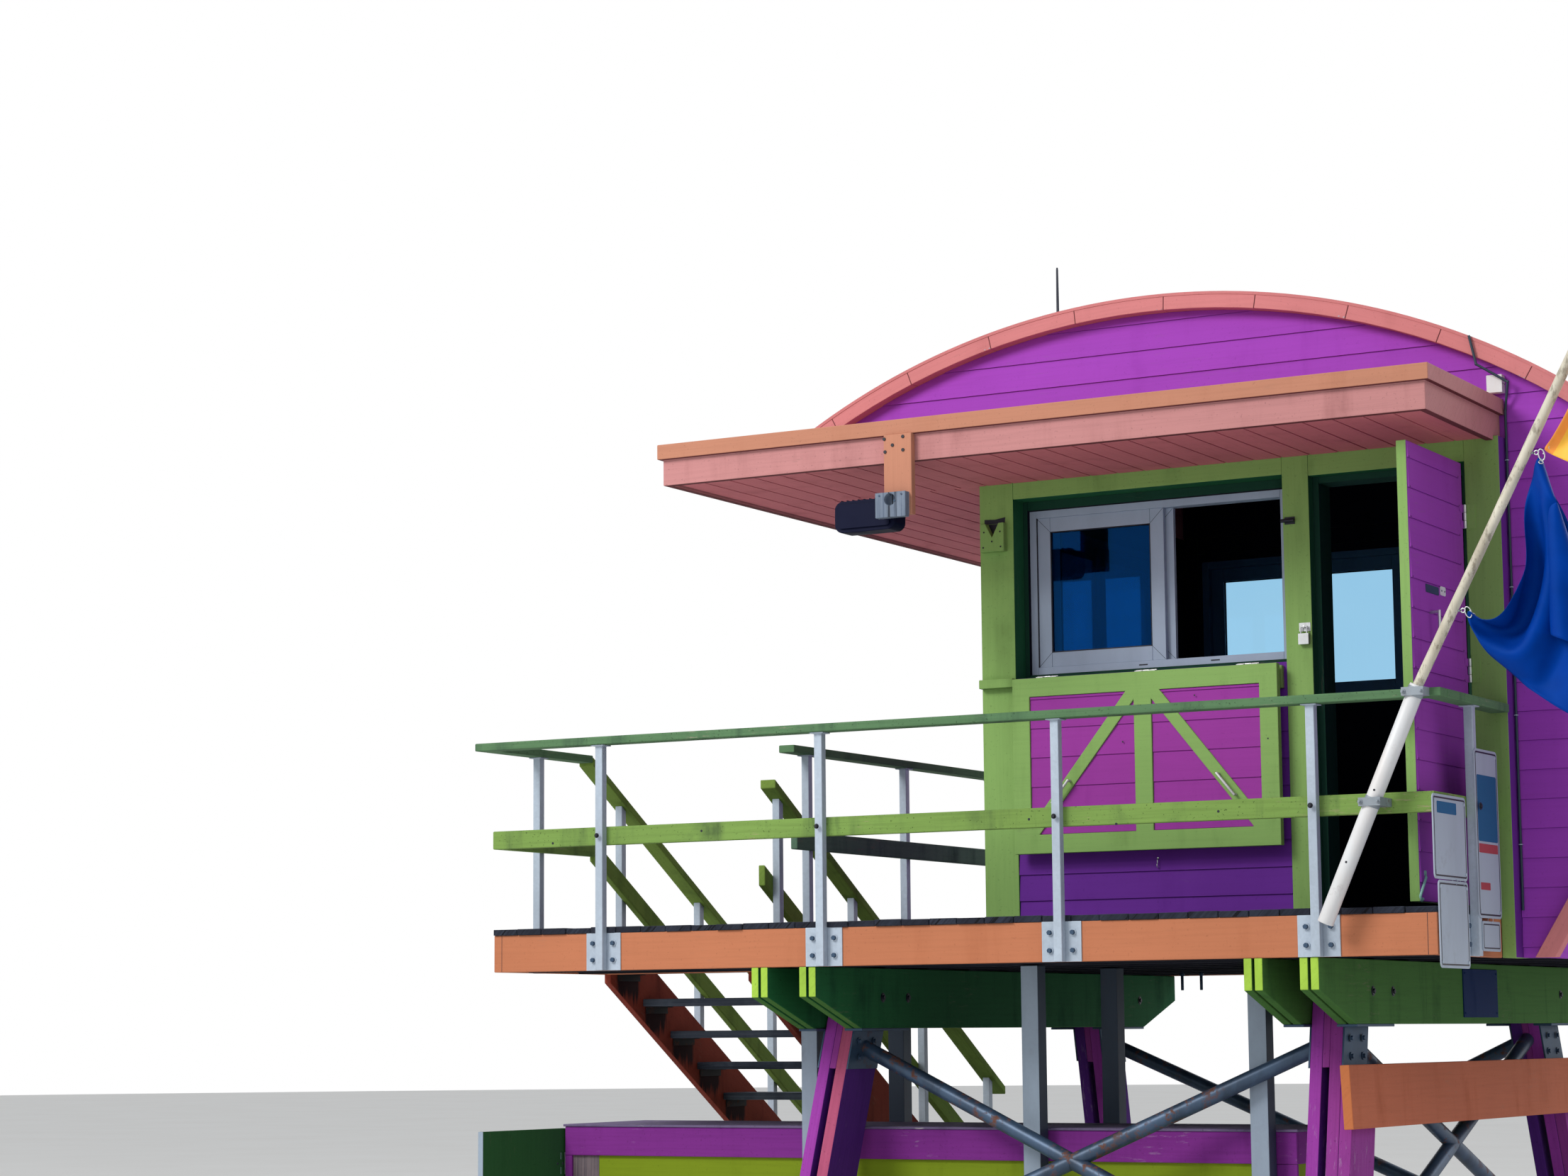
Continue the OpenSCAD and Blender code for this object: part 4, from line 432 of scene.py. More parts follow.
class Kit:
    """Collects solids into one mesh, with the first texture coordinate along each board."""

    def __init__(self):
        self.bm = bmesh.new()
        self.uv = self.bm.loops.layers.uv.verify()
        self.count = 0

    def next_board(self):
        """Where the next board starts along the first texture coordinate."""
        self.count = (self.count + 1) % 37
        return BOARD_STEP * self.count + BOARD_START

    def unwrap(self, faces, axis, origin):
        start = self.next_board()
        for f in faces:
            n = f.normal if f.normal.length else f.calc_center_median()
            end = abs(n.dot(axis)) > 0.85
            a = n.orthogonal().normalized() if end else axis
            b = n.cross(a).normalized()
            for loop in f.loops:
                p = loop.vert.co - origin
                loop[self.uv].uv = (start + p.dot(a), p.dot(b) + (END_SHIFT if end else 0))

    def loft(self, low, high, mat=0, axis=None):
        """A solid between two outlines of as many points."""
        a = [self.bm.verts.new(p) for p in low]
        b = [self.bm.verts.new(p) for p in high]
        n = len(a)
        faces = [self.bm.faces.new(a[::-1]), self.bm.faces.new(b)]
        faces += [self.bm.faces.new((a[i], a[(i + 1) % n], b[(i + 1) % n], b[i])) for i in range(n)]
        for f in faces:
            f.material_index = mat
            f.normal_update()
        if axis is None:
            sides = [(a[1].co - a[0].co), (a[2].co - a[1].co), (b[0].co - a[0].co)]
            axis = max(sides, key=lambda s: s.length)
        self.unwrap(faces, axis.normalized(), a[0].co.copy())

    def box(self, lo, hi, mat=0):
        """A box between two corners, given from the deck's corner."""
        (x0, y0, z0), (x1, y1, z1) = lo, hi
        low, high = [[T(x, y, z) for x, y in ((x0, y0), (x1, y0), (x1, y1), (x0, y1))] for z in (z0, z1)]
        self.loft(low, high, mat)

    def across(self, outline, y0, y1, axis=None):
        """A solid across Y, from an outline in x and z."""
        low, high = [[T(x, y, z) for x, z in outline] for y in (y0, y1)]
        self.loft(low, high, 0, axis)

    def board(self, a, b, side, w, t, mat=0):
        """A board from a to b: w across, along side, and t thick."""
        way = (b - a).normalized()
        side = (side - way * side.dot(way)).normalized() * w / 2
        up = way.cross(side).normalized() * t / 2
        ring = [side * i + up * j for i, j in ((-1, -1), (1, -1), (1, 1), (-1, 1))]
        self.loft([a + r for r in ring], [b + r for r in ring], mat, way)

    def rod(self, a, b, r, n=12, mat=0, r2=None):
        way = (b - a).normalized()
        ring = circle(*square_to(way), n)
        self.loft([a + d * r for d in ring], [b + d * (r2 or r) for d in ring], mat, way)

    def head(self, p, n, r, h, mat=0, sides=12):
        """A screw's head, or with six sides a bolt's."""
        self.rod(p, p + n * h, r, sides, mat, r * 0.92)

    def bolt(self, p, n, r, h, mat=0, sides=6):
        """A head on a washer."""
        self.rod(p, p + n * 0.003, r * 1.65, 16, mat)
        self.head(p, n, r, h, mat, sides)

    def skin(self, rings, mat=0, closed=False):
        """Faces between rings of as many points, with a cap at each end unless they close."""
        rings = [[self.bm.verts.new(p) for p in ring] for ring in rings]
        start, n, m, at = self.next_board(), len(rings[0]), len(rings), 0.0
        for i in range(m if closed else m - 1):
            a, b = rings[i], rings[(i + 1) % m]
            step = (b[0].co - a[0].co).length
            for k in range(n):
                f = self.bm.faces.new((a[k], a[(k + 1) % n], b[(k + 1) % n], b[k]))
                f.material_index, f.smooth = mat, True
                for loop, (p, q) in zip(f.loops, ((0, 0), (0, 1), (1, 1), (1, 0))):
                    loop[self.uv].uv = (start + at + p * step, (k + q) * 0.2 / n)
            at += step
        if not closed:
            for ring in (rings[0][::-1], rings[-1]):
                self.bm.faces.new(ring).material_index = mat

    def sweep(self, points, r, n=10, mat=0, closed=False):
        """A round bar along a line of points."""
        m, u, rings = len(points), None, []
        for i, p in enumerate(points):
            a = points[i - 1] if i or closed else p
            b = points[(i + 1) % m] if i < m - 1 or closed else p
            u, v = square_to((b - a).normalized(), u)
            rings.append([p + d * r for d in circle(u, v, n)])
        self.skin(rings, mat, closed)

    def lathe(self, a, way, profile, n=24, mat=0):
        """A turned form: profile gives (distance along way, radius)."""
        ring = circle(*square_to(way), n)
        self.skin([[a + way * d + p * r for p in ring] for d, r in profile], mat)

    def ring(self, c, normal, big, small, n=20, mat=0, stretch=1.0, way=None):
        """A closed link, stretched along way."""
        u, v = square_to(normal.normalized(), way)
        self.sweep([c + d * big for d in circle(u * stretch, v, n)], small, 8, mat, True)

    def plate(self, at, across, w, h, t, r, mat=0, n=5):
        """An upright plate with rounded corners: at is its middle on the back face."""
        pts = [at + across * p + Z * q for p, q in rounded(w, h, r, r, n)]
        self.loft(pts, [p + across.cross(Z) * t for p in pts], mat, across)

    def line_round(self, at, across, w, h, line, t, r, mat=0):
        """A thin band round an upright plate with rounded corners."""
        out = across.cross(Z)
        self.skin([[at + across * p + Z * q + out * lift
                    for p, q in rounded(w, h, r, max(r - inset, 0.0005))]
                   for inset, lift in ((0, 0), (0, t), (line, t), (line, 0))], mat, True)

    def done(self, name, mats, slot, body="tower", **finish):
        bmesh.ops.recalc_face_normals(self.bm, faces=self.bm.faces)
        return place(name, self.bm, mats, slot, body, **finish)


def place(name, bm, mats, slot, body="tower", bevel=0.0, segments=2, stands_for=None):
    """The finished piece, on its body, with bevelled edges."""
    mesh = bpy.data.meshes.new(name)
    bm.to_mesh(mesh)
    bm.free()
    obj = bpy.data.objects.new(name, mesh)
    bpy.context.scene.collection.objects.link(obj)
    for m in mats if isinstance(mats, tuple) else (mats,):
        mesh.materials.append(MAT[m])
    if bevel:
        mod = obj.modifiers.new("Bevel", "BEVEL")
        mod.width, mod.segments = bevel, segments
        mod.limit_method, mod.angle_limit = "ANGLE", math.radians(35)
    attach(obj, body)
    if stands_for:
        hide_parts(stands_for)
    return obj


# the frame's own solids, dressed

SLOTS = {p["node"]: p["material_slot"] for p in frame["record"]["subparts"]}
MIDDLE = T(3.6, 2.1, 3.3)


def islands(bm):
    """The faces of each separate solid."""
    left = set(bm.faces)
    while left:
        group, edge = [], [left.pop()]
        while edge:
            f = edge.pop()
            group.append(f)
            for e in f.edges:
                for g in e.link_faces:
                    if g in left:
                        left.discard(g)
                        edge.append(g)
        yield group


def dress(node, mats, bevel=0.003, pick=None, whole=False):
    """A copy of a node's solids with rounded edges and coordinates along each board.
    pick(x, y, z, normal) gives a face's place in the list of materials, from the middle of the
    face or, with whole, of its solid."""
    kit = Kit()
    bm = kit.bm
    bm.from_mesh(frame["nodes"][node].data)
    kit.uv = bm.loops.layers.uv.verify()
    bmesh.ops.remove_doubles(bm, verts=bm.verts, dist=2e-5)
    bmesh.ops.dissolve_limit(bm, angle_limit=0.012, verts=bm.verts, edges=bm.edges)
    bm.normal_update()
    bm.faces.ensure_lookup_table()
    for group in islands(bm):
        longest = max({e for f in group for e in f.edges}, key=lambda e: e.calc_length())
        axis = (longest.verts[1].co - longest.verts[0].co).normalized()
        kit.unwrap(group, axis, longest.verts[0].co.copy())
        mid = sum((f.calc_center_median() for f in group), Vector()) / len(group)
        for f in group:
            c = mid if whole else f.calc_center_median()
            f.material_index = int(pick(*spot(c), f.normal)) if pick else 0
    body = frame["nodes"][node]["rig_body"]
    place(node + "_dressed", bm, mats, SLOTS[node], body, bevel, stands_for=node)


def inward(x, y, z, n):
    """Faces that look into the hut's room; they take a near-black painted shade."""
    inside = 2.3 < x < 6.2 and 0.99 < y < 3.21 and z > DECK
    return inside and n.dot(MIDDLE - T(x, y, z)) > 0.02


def pier_part(x, y, z, n):
    """Painted shade: near-black on the room's side, a darker purple on the landward pier's outer side, and a
    darker green on the reveals of window and door.
    """
    if inward(x, y, z, n):
        return 1
    if x > 4.8 and n.x > 0.7:
        return 2
    return 3 if abs(n.x) > 0.7 and 2.4 < x < 4.75 else 0


def leg_part(x, y, z, n):
    """Landward sides and the back legs' left planks take a darker purple as painted shade,
    and the near legs' right planks are pink on the seaward leg and magenta on the landward one."""
    if n.x > 0.7:
        return 1
    if y > 2.6:
        return x < 1.60 or 3 < x < 4.15
    if n.y < -0.3:
        return 2 if 1.60 < x < 1.70 else 3 if x > 4.15 else 0
    return 0


def canopy_part(x, y, z, n):
    """Orange upper band, pink lower band and ends, roofing on top, and the dark seam colour below as painted
    shade.
    """
    if abs(n.z) > 0.7:
        return 2 if n.z > 0 else 3
    return 0 if z > CANOPY + 0.127 and abs(n.x) < 0.7 else 1


def window_part(x, y, z, n):
    """The back and the ocean side's windows, and what faces inwards, take a darker aluminium as painted shade.
    """
    return y > 1.2 or x < 2.45 or n.y > 0.5


def holder_part(x, y, z, n):
    """The hanger's grey block and its orange board, and the lime boards on the pier."""
    if y < -0.094 and z < 4.14:
        return 1
    return 2 if y < 0 else 0


def door_part(x, y, z, n):
    """The hasp's dark end, the hinges' painted leaves and their bare knuckles."""
    if x > 4.7 and 3.53 < z < 3.59 and y > 0.37:
        return 1
    return 2 if 0.7 < y < 0.838 else 0


def wall_part(x, y, z, n):
    """Jamb hinges painted with the wall, a black bolt, bare steel for the rest."""
    if x > 4.7:
        return 2 if y > 0.845 or x > 4.745 else 0
    return 3.84 < x < 3.912 and z > 3.9


for node, mat, bevel in (
        ("leg_blocks", "magenta", 0.004), ("fascia_boards", "fascia", 0.004), ("joists", "joist", 0.003),
        ("stair_treads", "tread", 0.004), ("stair_handrails", "stairrail", 0.005),
        ("top_rails", "toprail", 0.005), ("roof_rims", "salmon", 0.003), ("shutter_frame", "lime", 0.003),
        ("shutter_panel", "shutter", 0.001), ("locker_trim", "bandpurple", 0.003),
        ("locker_lid", "lid", 0.003), ("leg_plates", "plate", 0.001), ("bearing_plates", "plate", 0.002),
        ("tread_cleats", "cleat", 0.001), ("rail_posts", "galv", 0.003), ("post_plates", "galv", 0.0015),
        ("flood_light", "navy", 0.008), ("wall_box", "sleeve", 0.003), ("pole_clamps", "clamp", 0.002)):
    dress(node, mat, bevel)
for node, mat in (("cross_braces", "pipe"), ("aerial_cable", "cable")):
    own = frame["nodes"][node].data.materials
    own.clear()
    own.append(MAT[mat])
# the corner panels take the return purple, the siding's purple darkened as painted shade
for node, mat in (("gables", "siding"), ("corner_panels", "return"), ("ocean_wall", "siding"),
                  ("land_wall", "siding"), ("low_walls", "low"), ("roof_shell", "roofing"),
                  ("window_casings", "casing"), ("door_casing", "casing")):
    # faces looking into the room take the inside material, a near-black painted shade
    dress(node, (mat, "inside"), 0.001, inward)
dress("wall_piers", ("lime", "inside", "return", "revealshade"), 0.003, pier_part)
# wall heads: room faces take the near-black painted shade, undersides the reveal green as painted shade
dress("wall_heads", ("lime", "inside", "revealshade"), 0.003,
      lambda x, y, z, n: 1 if inward(x, y, z, n) else 2 if n.z < -0.7 else 0)
dress("leg_planks", ("leg", "legshade", "pink", "magenta"), 0.004, leg_part, True)
# back rails and the seaward rail take the rail lime darkened as painted shade
dress("mid_rails", ("rail", "railshade"), 0.005, lambda x, y, z, n: y > 3.26 or x < 1.3 and y > 0.85)
# landward sides and the posts further back take the grey darkened as painted shade
dress("steel_posts", ("post", "postshade"), 0.003, lambda x, y, z, n: n.x > 0.7 or y > 1.5)
dress("stair_stringers", ("stringer", "stringerside"), 0.004,
      lambda x, y, z, n: n.x * (0.45 - x) <= 0.2)
# the pulls below the shutter take the lighter steel, a painted reflection on their chrome
dress("shutter_fittings", ("steel", "chrome_reflection"), 0.001, lambda x, y, z, n: z < 2.9)
# beam ends take the lit copy, sides the painted shade, the seaward beam's landward sides a deeper painted
# shade
dress("beams", ("beam", "beamshade", "beamdeepshade"), 0.004,
      lambda x, y, z, n: 0 if abs(n.y) > 0.8 else 2 if x < 3 and n.x > 0.7 else 1)
# the name board's ends take a brighter copy of its orange as painted light
dress("name_board", ("name", "namelit"), 0.004, lambda x, y, z, n: abs(n.y) > 0.7)
# frames and sashes of the far windows and inward faces take the aluminium darkened as painted shade
dress("window_frames", ("alu", "alushade"), 0.0015, window_part)
dress("window_sashes", ("alu", "alushade"), 0.002, window_part)
# panes at the back and the ocean side take the pale copy as painted light
dress("window_glass", ("glass", "glasslit"), 0.0, lambda x, y, z, n: y >= 1.1 or x <= 2.4)
# the canopy's downward faces take the dark seam colour as painted shade
dress("canopy", ("band", "pinkband", "roofing", "seam"), 0.004, canopy_part)
dress("equipment_holders", ("lime", "greywood", "band"), 0.003, holder_part)
dress("door_leaf", ("door", "lime"), 0.002, lambda x, y, z, n: abs(n.x) <= 0.7)
dress("door_fittings", ("steel", "black", "door"), 0.001, door_part)
dress("wall_fittings", ("steel", "black", "lime"), 0.001, wall_part)
dress("locker_door", ("leaf", "post"), 0.002, lambda x, y, z, n: n.y < -0.7)
dress("locker_panels", "locker", 0.002)


# siding

def clip(poly, lo, hi):
    """The part of a convex outline between two heights."""
    for bound, sign in ((lo, 1), (hi, -1)):
        out = []
        for i, p in enumerate(poly):
            q = poly[(i + 1) % len(poly)]
            dp, dq = sign * (p[1] - bound), sign * (q[1] - bound)
            if dp >= 0:
                out.append(p)
            if (dp > 0 > dq) or (dp < 0 < dq):
                k = dp / (dp - dq)
                out.append((p[0] + k * (q[0] - p[0]), p[1] + k * (q[1] - p[1])))
        poly = out
        if len(poly) < 3:
            return []
    return poly


def clad(kit, poly, origin, across, up=Z, pitch=PITCH, start=LINE, proud=0.009, thin=0.002, gap=0.0015):
    """Lap siding over a convex outline (across, up) on a plane: each board leans out at its foot."""
    out = across.cross(up)
    heights = [p[1] for p in poly]
    k = math.floor((min(heights) - start) / pitch)
    while start + k * pitch < max(heights):
        lo = start + k * pitch
        part = clip(poly, lo + gap, lo + pitch)
        k += 1
        if len(part) < 3 or max(p[1] for p in part) - min(p[1] for p in part) < 0.004:
            continue

        def at(p, off):
            return origin + across * p[0] + up * p[1] + out * off

        face = [at(p, proud + (thin - proud) * (p[1] - lo) / pitch) for p in part]
        back = [at(p, -0.0005) for p in part]
        kit.loft(back, face, 0, across)


def rect(u0, v0, u1, v1):
    return [(u0, v0), (u1, v0), (u1, v1), (u0, v1)]


def lean_x(z, inset):
    """The leaning wall's line at a height, set in by a distance square to it."""
    return FOOT_X + math.tan(LEAN) * (z - BEAM_TOP) - inset / math.cos(LEAN)


def meet(r, inset):
    """Where the leaning line meets an arch: height above the arch's centre, and angle round it."""
    slope = math.tan(LEAN)
    q = lean_x(ARC_Z, inset) - ARC_X
    a = 1 + slope ** 2
    up = (-q * slope + math.sqrt(q * q * slope ** 2 - a * (q * q - r ** 2))) / a
    return up, math.atan2(up, q + slope * up)


def round_arch(r, angle):
    """x and z of a point round the arch's centre."""
    return ARC_X + r * math.cos(angle), ARC_Z + r * math.sin(angle)


def on_arch(r, angle, y):
    x, z = round_arch(r, angle)
    return T(x, y, z)


def under_arch(x0, z0, z1):
    """Outline of the end wall's face landward of x0 and between two heights."""
    arch = [round_arch(RIM_IN, a) for a in np.linspace(0.05, math.pi - 0.1, 120)]
    arch = [(x, z) for x, z in arch if z > z0 and x <= lean_x(z, RIM_W)]
    foot = ARC_X + math.sqrt(RIM_IN ** 2 - (z0 - ARC_Z) ** 2)
    outline = []
    for x, z in [(min(lean_x(z0, RIM_W), foot), z0)] + arch + [(arch[-1][0], z0)]:
        p = max(x, x0), min(z, z1)
        if not outline or math.dist(p, outline[-1]) > 1e-4:
            outline.append(p)
    return outline


for tag, (y, face) in zip(("near", "back"), both(GABLE_Y)):
    kit = Kit()
    for poly in (under_arch(-9, CANOPY_TOP + 0.002, 9), under_arch(4.896, BEAM_TOP, CANOPY_TOP + 0.002)):
        if face > 0:
            poly = [(-x, z) for x, z in poly][::-1]
        clad(kit, poly, T(0, y, 0), X * -face)
    kit.done("end_siding_" + tag, "siding", "purple_siding")

LOW_Y, LOW_PITCH, LOW_LINE = 0.868, 0.125, 2.392
kit = Kit()
clad(kit, rect(2.459, DECK, 3.849, 3.212), T(0, LOW_Y, 0), X, Z, LOW_PITCH, LOW_LINE)
kit.done("low_siding_near", "low", "purple_siding")
kit = Kit()
for x0, x1, top in ((2.459, 3.849, 3.338), (3.981, 4.729, 4.198)):
    clad(kit, rect(-x1, DECK, -x0, top), T(0, DEPTH - LOW_Y, 0), NEG_X, Z, LOW_PITCH, LOW_LINE)
kit.done("low_siding_back", "low", "purple_siding")

# round the ocean side's window
kit = Kit()
for y0, z0, y1, z1 in ((1.057, DECK, 3.143, 3.340), (1.057, 4.216, 3.143, CANOPY),
                       (1.057, 3.340, 1.404, 4.216), (2.796, 3.340, 3.143, 4.216)):
    clad(kit, rect(-y1, z0, -y0, z1), T(2.277, 0, 0), NEG_Y)
kit.done("ocean_siding", "siding", "purple_siding")

lean_up = Vector((math.sin(LEAN), 0, math.cos(LEAN)))
wall_rise, wall_angle = meet(SHELL_R, SHELL_IN)
kit = Kit()
clad(kit, rect(0.957, 0.0, 3.243, (ARC_Z + wall_rise - BEAM_TOP) / math.cos(LEAN)),
     T(lean_x(BEAM_TOP, SHELL_IN), 0, BEAM_TOP), Y, lean_up, start=0.03, proud=0.006, thin=0.001)
kit.done("land_siding", "siding", "purple_siding")

# roofing laid in eight lengths across the arch, each one thickest at its lower end
kit = Kit()
lengths = np.linspace(math.atan2(CANOPY_TOP - ARC_Z, -2.15), math.atan2(wall_rise, 2.97), 9)
for a, b in zip(lengths, lengths[1:]):
    ring = []
    for share in np.linspace(0, 1, 9):
        angle = a + (b - a) * share
        ring.append((0.001 + 0.004 * (1 - share if angle > math.pi / 2 else share), angle))
    outline = [round_arch(SHELL_R + lift, angle) for lift, angle in ring]
    outline += [round_arch(SHELL_R, angle) for _, angle in ring[::-1]]
    kit.across(outline, 0.958, 3.242, Y)
kit.done("roofing_lengths", "roofing", "salmon")

# door and shutter boards
kit = Kit()
clad(kit, rect(0.112, 2.192, 0.792, 4.184), T(4.7205, 0, 0), Y, proud=0.006, gap=0.004)
kit.done("door_siding", "door", "purple_siding", "door")
kit = Kit()
for x0, x1 in ((2.568, 3.107), (3.201, 3.740)):
    clad(kit, rect(x0, 2.58, x1, 3.237), T(0, 0.788, 0), X, Z, 0.14, 2.802, 0.006, gap=0.0045)
kit.done("shutter_boards", "shutter", "purple_siding", "shutter")


# boards of the deck, floor and soffit

def strips(x0, x1, n, gap):
    """Left and right edges of n boards side by side, each set in by a gap."""
    w = (x1 - x0) / n
    return [(x0 + i * w + gap, x0 + (i + 1) * w - gap) for i in range(n)]


def lay(kit, x0, x1, y0, y1, ragged=0.0):
    """Walking boards across Y, side by side along X, with uneven tops and ragged near ends."""
    for a, b in strips(x0, x1, round((x1 - x0) / 0.14), 0.0025):
        top = DECK + rng.uniform(-0.004, 0.0)
        kit.box((a, y0 - rng.uniform(0, ragged), BOARD_LOW), (b, y1, top))


kit = Kit()
lay(kit, 0.0, 4.83, 0.0, 0.998, 0.014)
lay(kit, 1.19, 2.377, 1.002, 3.198)
lay(kit, 1.19, 4.83, 3.202, 4.2)
for f in kit.bm.faces:
    f.material_index = 1 if abs(f.normal.y) > 0.8 else 0
kit.done("deck_boards", ("deck", "deckend"), "deck_wood", bevel=0.003, stands_for="deck")
kit = Kit()
lay(kit, 2.379, 4.828, 1.001, 3.199)
# the last one runs to the leaning wall
low, high = [[T(x, y, z) for x, y in rect(4.831, 1.058, edge, 3.142)]
             for edge, z in ((5.069, BOARD_LOW), (5.084, DECK))]
kit.loft(low, high)
kit.done("floor_boards", "deck", "deck_wood", bevel=0.003, stands_for="hut_floor")

kit = Kit()
for x1, n, y0, y1 in ((4.833, 27, -0.02, 0.855), (4.833, 27, 3.345, 4.22), (2.276, 9, 0.856, 3.344)):
    for a, b in strips(1.063, x1, n, 0.0045):
        kit.box((a, y0, SOFFIT - 0.008), (b, y1, SOFFIT))
kit.done("soffit_boards", "soffit", "salmon", bevel=0.0015)

# bolts, screws, seams and small plates

kit = Kit()


def plate_bolts(at, across, way, rows=PLATE_ROWS, slope=0.0):
    """Four bolts in a post's plate: the heights of its rows, and how they fall along it."""
    for d in (-PLATE_HALF, PLATE_HALF):
        for z in rows:
            p = at + across * d + Z * (z - slope * d)
            kit.rod(p, p + way * 0.003, 0.0174, 16)
            kit.head(p + way * 0.003, way, 0.012, 0.012, 2, 6)


for x in NEAR_POSTS:
    plate_bolts(T(x, -0.006, 0), X, NEG_Y)
    kit.rod(T(x, -0.063, RAIL_Z), T(x, -0.067, RAIL_Z), 0.012, 16, 1)
    kit.head(T(x, -0.067, RAIL_Z), NEG_Y, 0.008, 0.007, 1, 6)
for x in NEAR_POSTS[1:]:
    plate_bolts(T(x, 4.206, 0), X, Y)
    kit.bolt(T(x, 4.263, RAIL_Z), Y, 0.010, 0.008, 1)
for x, y, way in ((-0.006, 0.430, NEG_X), (4.836, 0.430, X), (4.836, 3.770, X),
                  (1.184, 1.0885, NEG_X), (1.184, 2.144, NEG_X), (1.184, 3.200, NEG_X)):
    plate_bolts(T(x, y, 0), Y, way)
    kit.bolt(T(x, y, RAIL_Z) + way * 0.057, way, 0.010, 0.008, 1)
STAIR_SLOPE = 0.4825 / 0.787
for i, y in enumerate((1.2005, 1.987, 2.7745, 3.561)):
    for x, way in ((-0.006, NEG_X), (0.906, X)):
        plate_bolts(T(x, y, 1.959 - 0.4824 * i), Y, way, (-0.036, 0.036), STAIR_SLOPE)

# leg plates, the beams' sunk bolts and two hanger rods
for x0, x1 in ((1.549, 1.564), (1.706, 1.723), (4.037, 4.054), (4.196, 4.211)):
    for x, way in ((x0, NEG_X), (x1, X)):
        for y in (0.585, 0.735, DEPTH - 0.735, DEPTH - 0.585):
            for z in (1.530, 1.610):
                kit.bolt(T(x, y, z), way, 0.011, 0.012, 2)
for x, way, rows in ((1.813, X, (0.663, 0.9225, 3.438, 3.700)), (4.293, X, (0.663, 0.9225, 3.438, 3.700)),
                     (1.467, NEG_X, (0.663, 3.438)), (3.947, NEG_X, (0.663, 3.438))):
    for y in rows:
        p = T(x, y, 1.817)
        kit.rod(p, p + way * 0.0008, 0.024, 20, 1)
        kit.bolt(p + way * 0.0008, way, 0.012, 0.010, 1)
for x in (2.33, 2.44):
    kit.lathe(T(x, 3.1, 1.962), -Z, [(0, 0.008), (0.098, 0.008), (0.100, 0.006)], 12, 2)
    kit.rod(T(x, 3.1, 1.952), T(x, 3.1, 1.938), 0.014, 6, 2)

# hanger, block and notched board
for y, r, h, mat, sides, heads in (
        (-0.096, 0.0085, 0.004, 1, 12,
         ((2.260, 4.392), (2.358, 4.396), (2.303, 4.360), (2.264, 4.331), (2.358, 4.333))),
        (-0.134, 0.005, 0.003, 2, 6, ((2.250, 4.120), (2.366, 4.120), (2.330, 4.092))),
        (0.818, 0.0045, 0.002, 1, 12,
         ((2.317, 4.061), (2.404, 4.060), (2.359, 4.014), (2.312, 3.986), (2.406, 3.986)))):
    for x, z in heads:
        kit.head(T(x, y, z), NEG_Y, r, h, mat, sides)

# the wall box's screws and the cable's clips
for y in (0.922, 0.946):
    kit.head(T(4.904, y, 4.552), X, 0.003, 0.002, 2)
for z in (4.20, 3.62, 3.04, 2.46):
    kit.ring(T(4.906, 0.936, z), Z, 0.008, 0.0022, 16)
    kit.board(T(4.9005, 0.944, z), T(4.9005, 0.962, z), Z, 0.014, 0.0025)
kit.done("tower_bolts", ("galv", "black", "plate"), "galvanised", bevel=0.0006, segments=1)

# joints of the fascia boards, cracks, dark lines round the window, painted shade in the notch and a painted
# shadow above the notched board, each a thin dark inlay
kit = Kit()
for x in (0.045, 4.785):
    kit.box((x, -0.0006, 1.959), (x + 0.0022, 0.0005, 2.135))
for y in (0.9, 3.3):
    kit.box((4.8295, y, 1.959), (4.8306, y + 0.0022, 2.135))
kit.box((1.594, 0.7693, 1.046), (1.5965, 0.7702, 1.186))
kit.across([(2.303, 4.016), (2.306, 4.016), (2.3055, 4.071), (2.3035, 4.071)], -0.1346, -0.1336)
# painted shade in the notch
kit.across([(2.359, 4.0345), (2.3945, 4.1035), (2.3235, 4.1035)], 0.8545, 0.8562)
# painted shadow above the notched board
kit.across([(2.303, 4.129), (2.303, 4.105), (2.412, 4.105), (2.416, 4.134), (2.36, 4.126)], 0.8552, 0.8564)
for z in (3.3655, 4.1705):
    kit.box((2.482, 0.9853, z - 0.0015), (3.826, 0.9862, z + 0.0015))
for x in (2.4835, 3.8245):
    kit.box((x - 0.0015, 0.9853, 3.364), (x + 0.0015, 0.9862, 4.172))
kit.box((2.5205, 0.9845, 3.402), (2.5245, 0.9925, 4.134))
for x in (3.05, 3.42):
    kit.box((x, 0.9856, 3.380), (x + 0.045, 0.9862, 3.3865))
# on each sash, a mitre line in every corner and a gasket round the pane
SASH_LOW, SASH_HIGH = 3.402, 4.134
for x0, x1, y, s in ((2.520, 3.189, 0.992, -1), (2.560, 3.229, 1.021, -1), (2.959, 3.628, 3.179, 1),
                     (2.520, 3.189, 3.208, 1)):
    for x, dx in ((x0, 1), (x1, -1)):
        for z, dz in ((SASH_LOW, 1), (SASH_HIGH, -1)):
            a, b = [T(x + dx * d, y + s * 0.0003, z + dz * d) for d in (0.003, 0.068)]
            kit.board(a, b, Vector((dx, 0, -dz)), 0.0016, 0.0008)
    y -= s * 0.004
    for z in (SASH_LOW + 0.072, SASH_HIGH - 0.072):
        kit.board(T(x0 + 0.070, y, z), T(x1 - 0.070, y, z), Z, 0.006, 0.006)
    for x in (x0 + 0.072, x1 - 0.072):
        kit.board(T(x, y, SASH_LOW + 0.070), T(x, y, SASH_HIGH - 0.070), X, 0.006, 0.006)
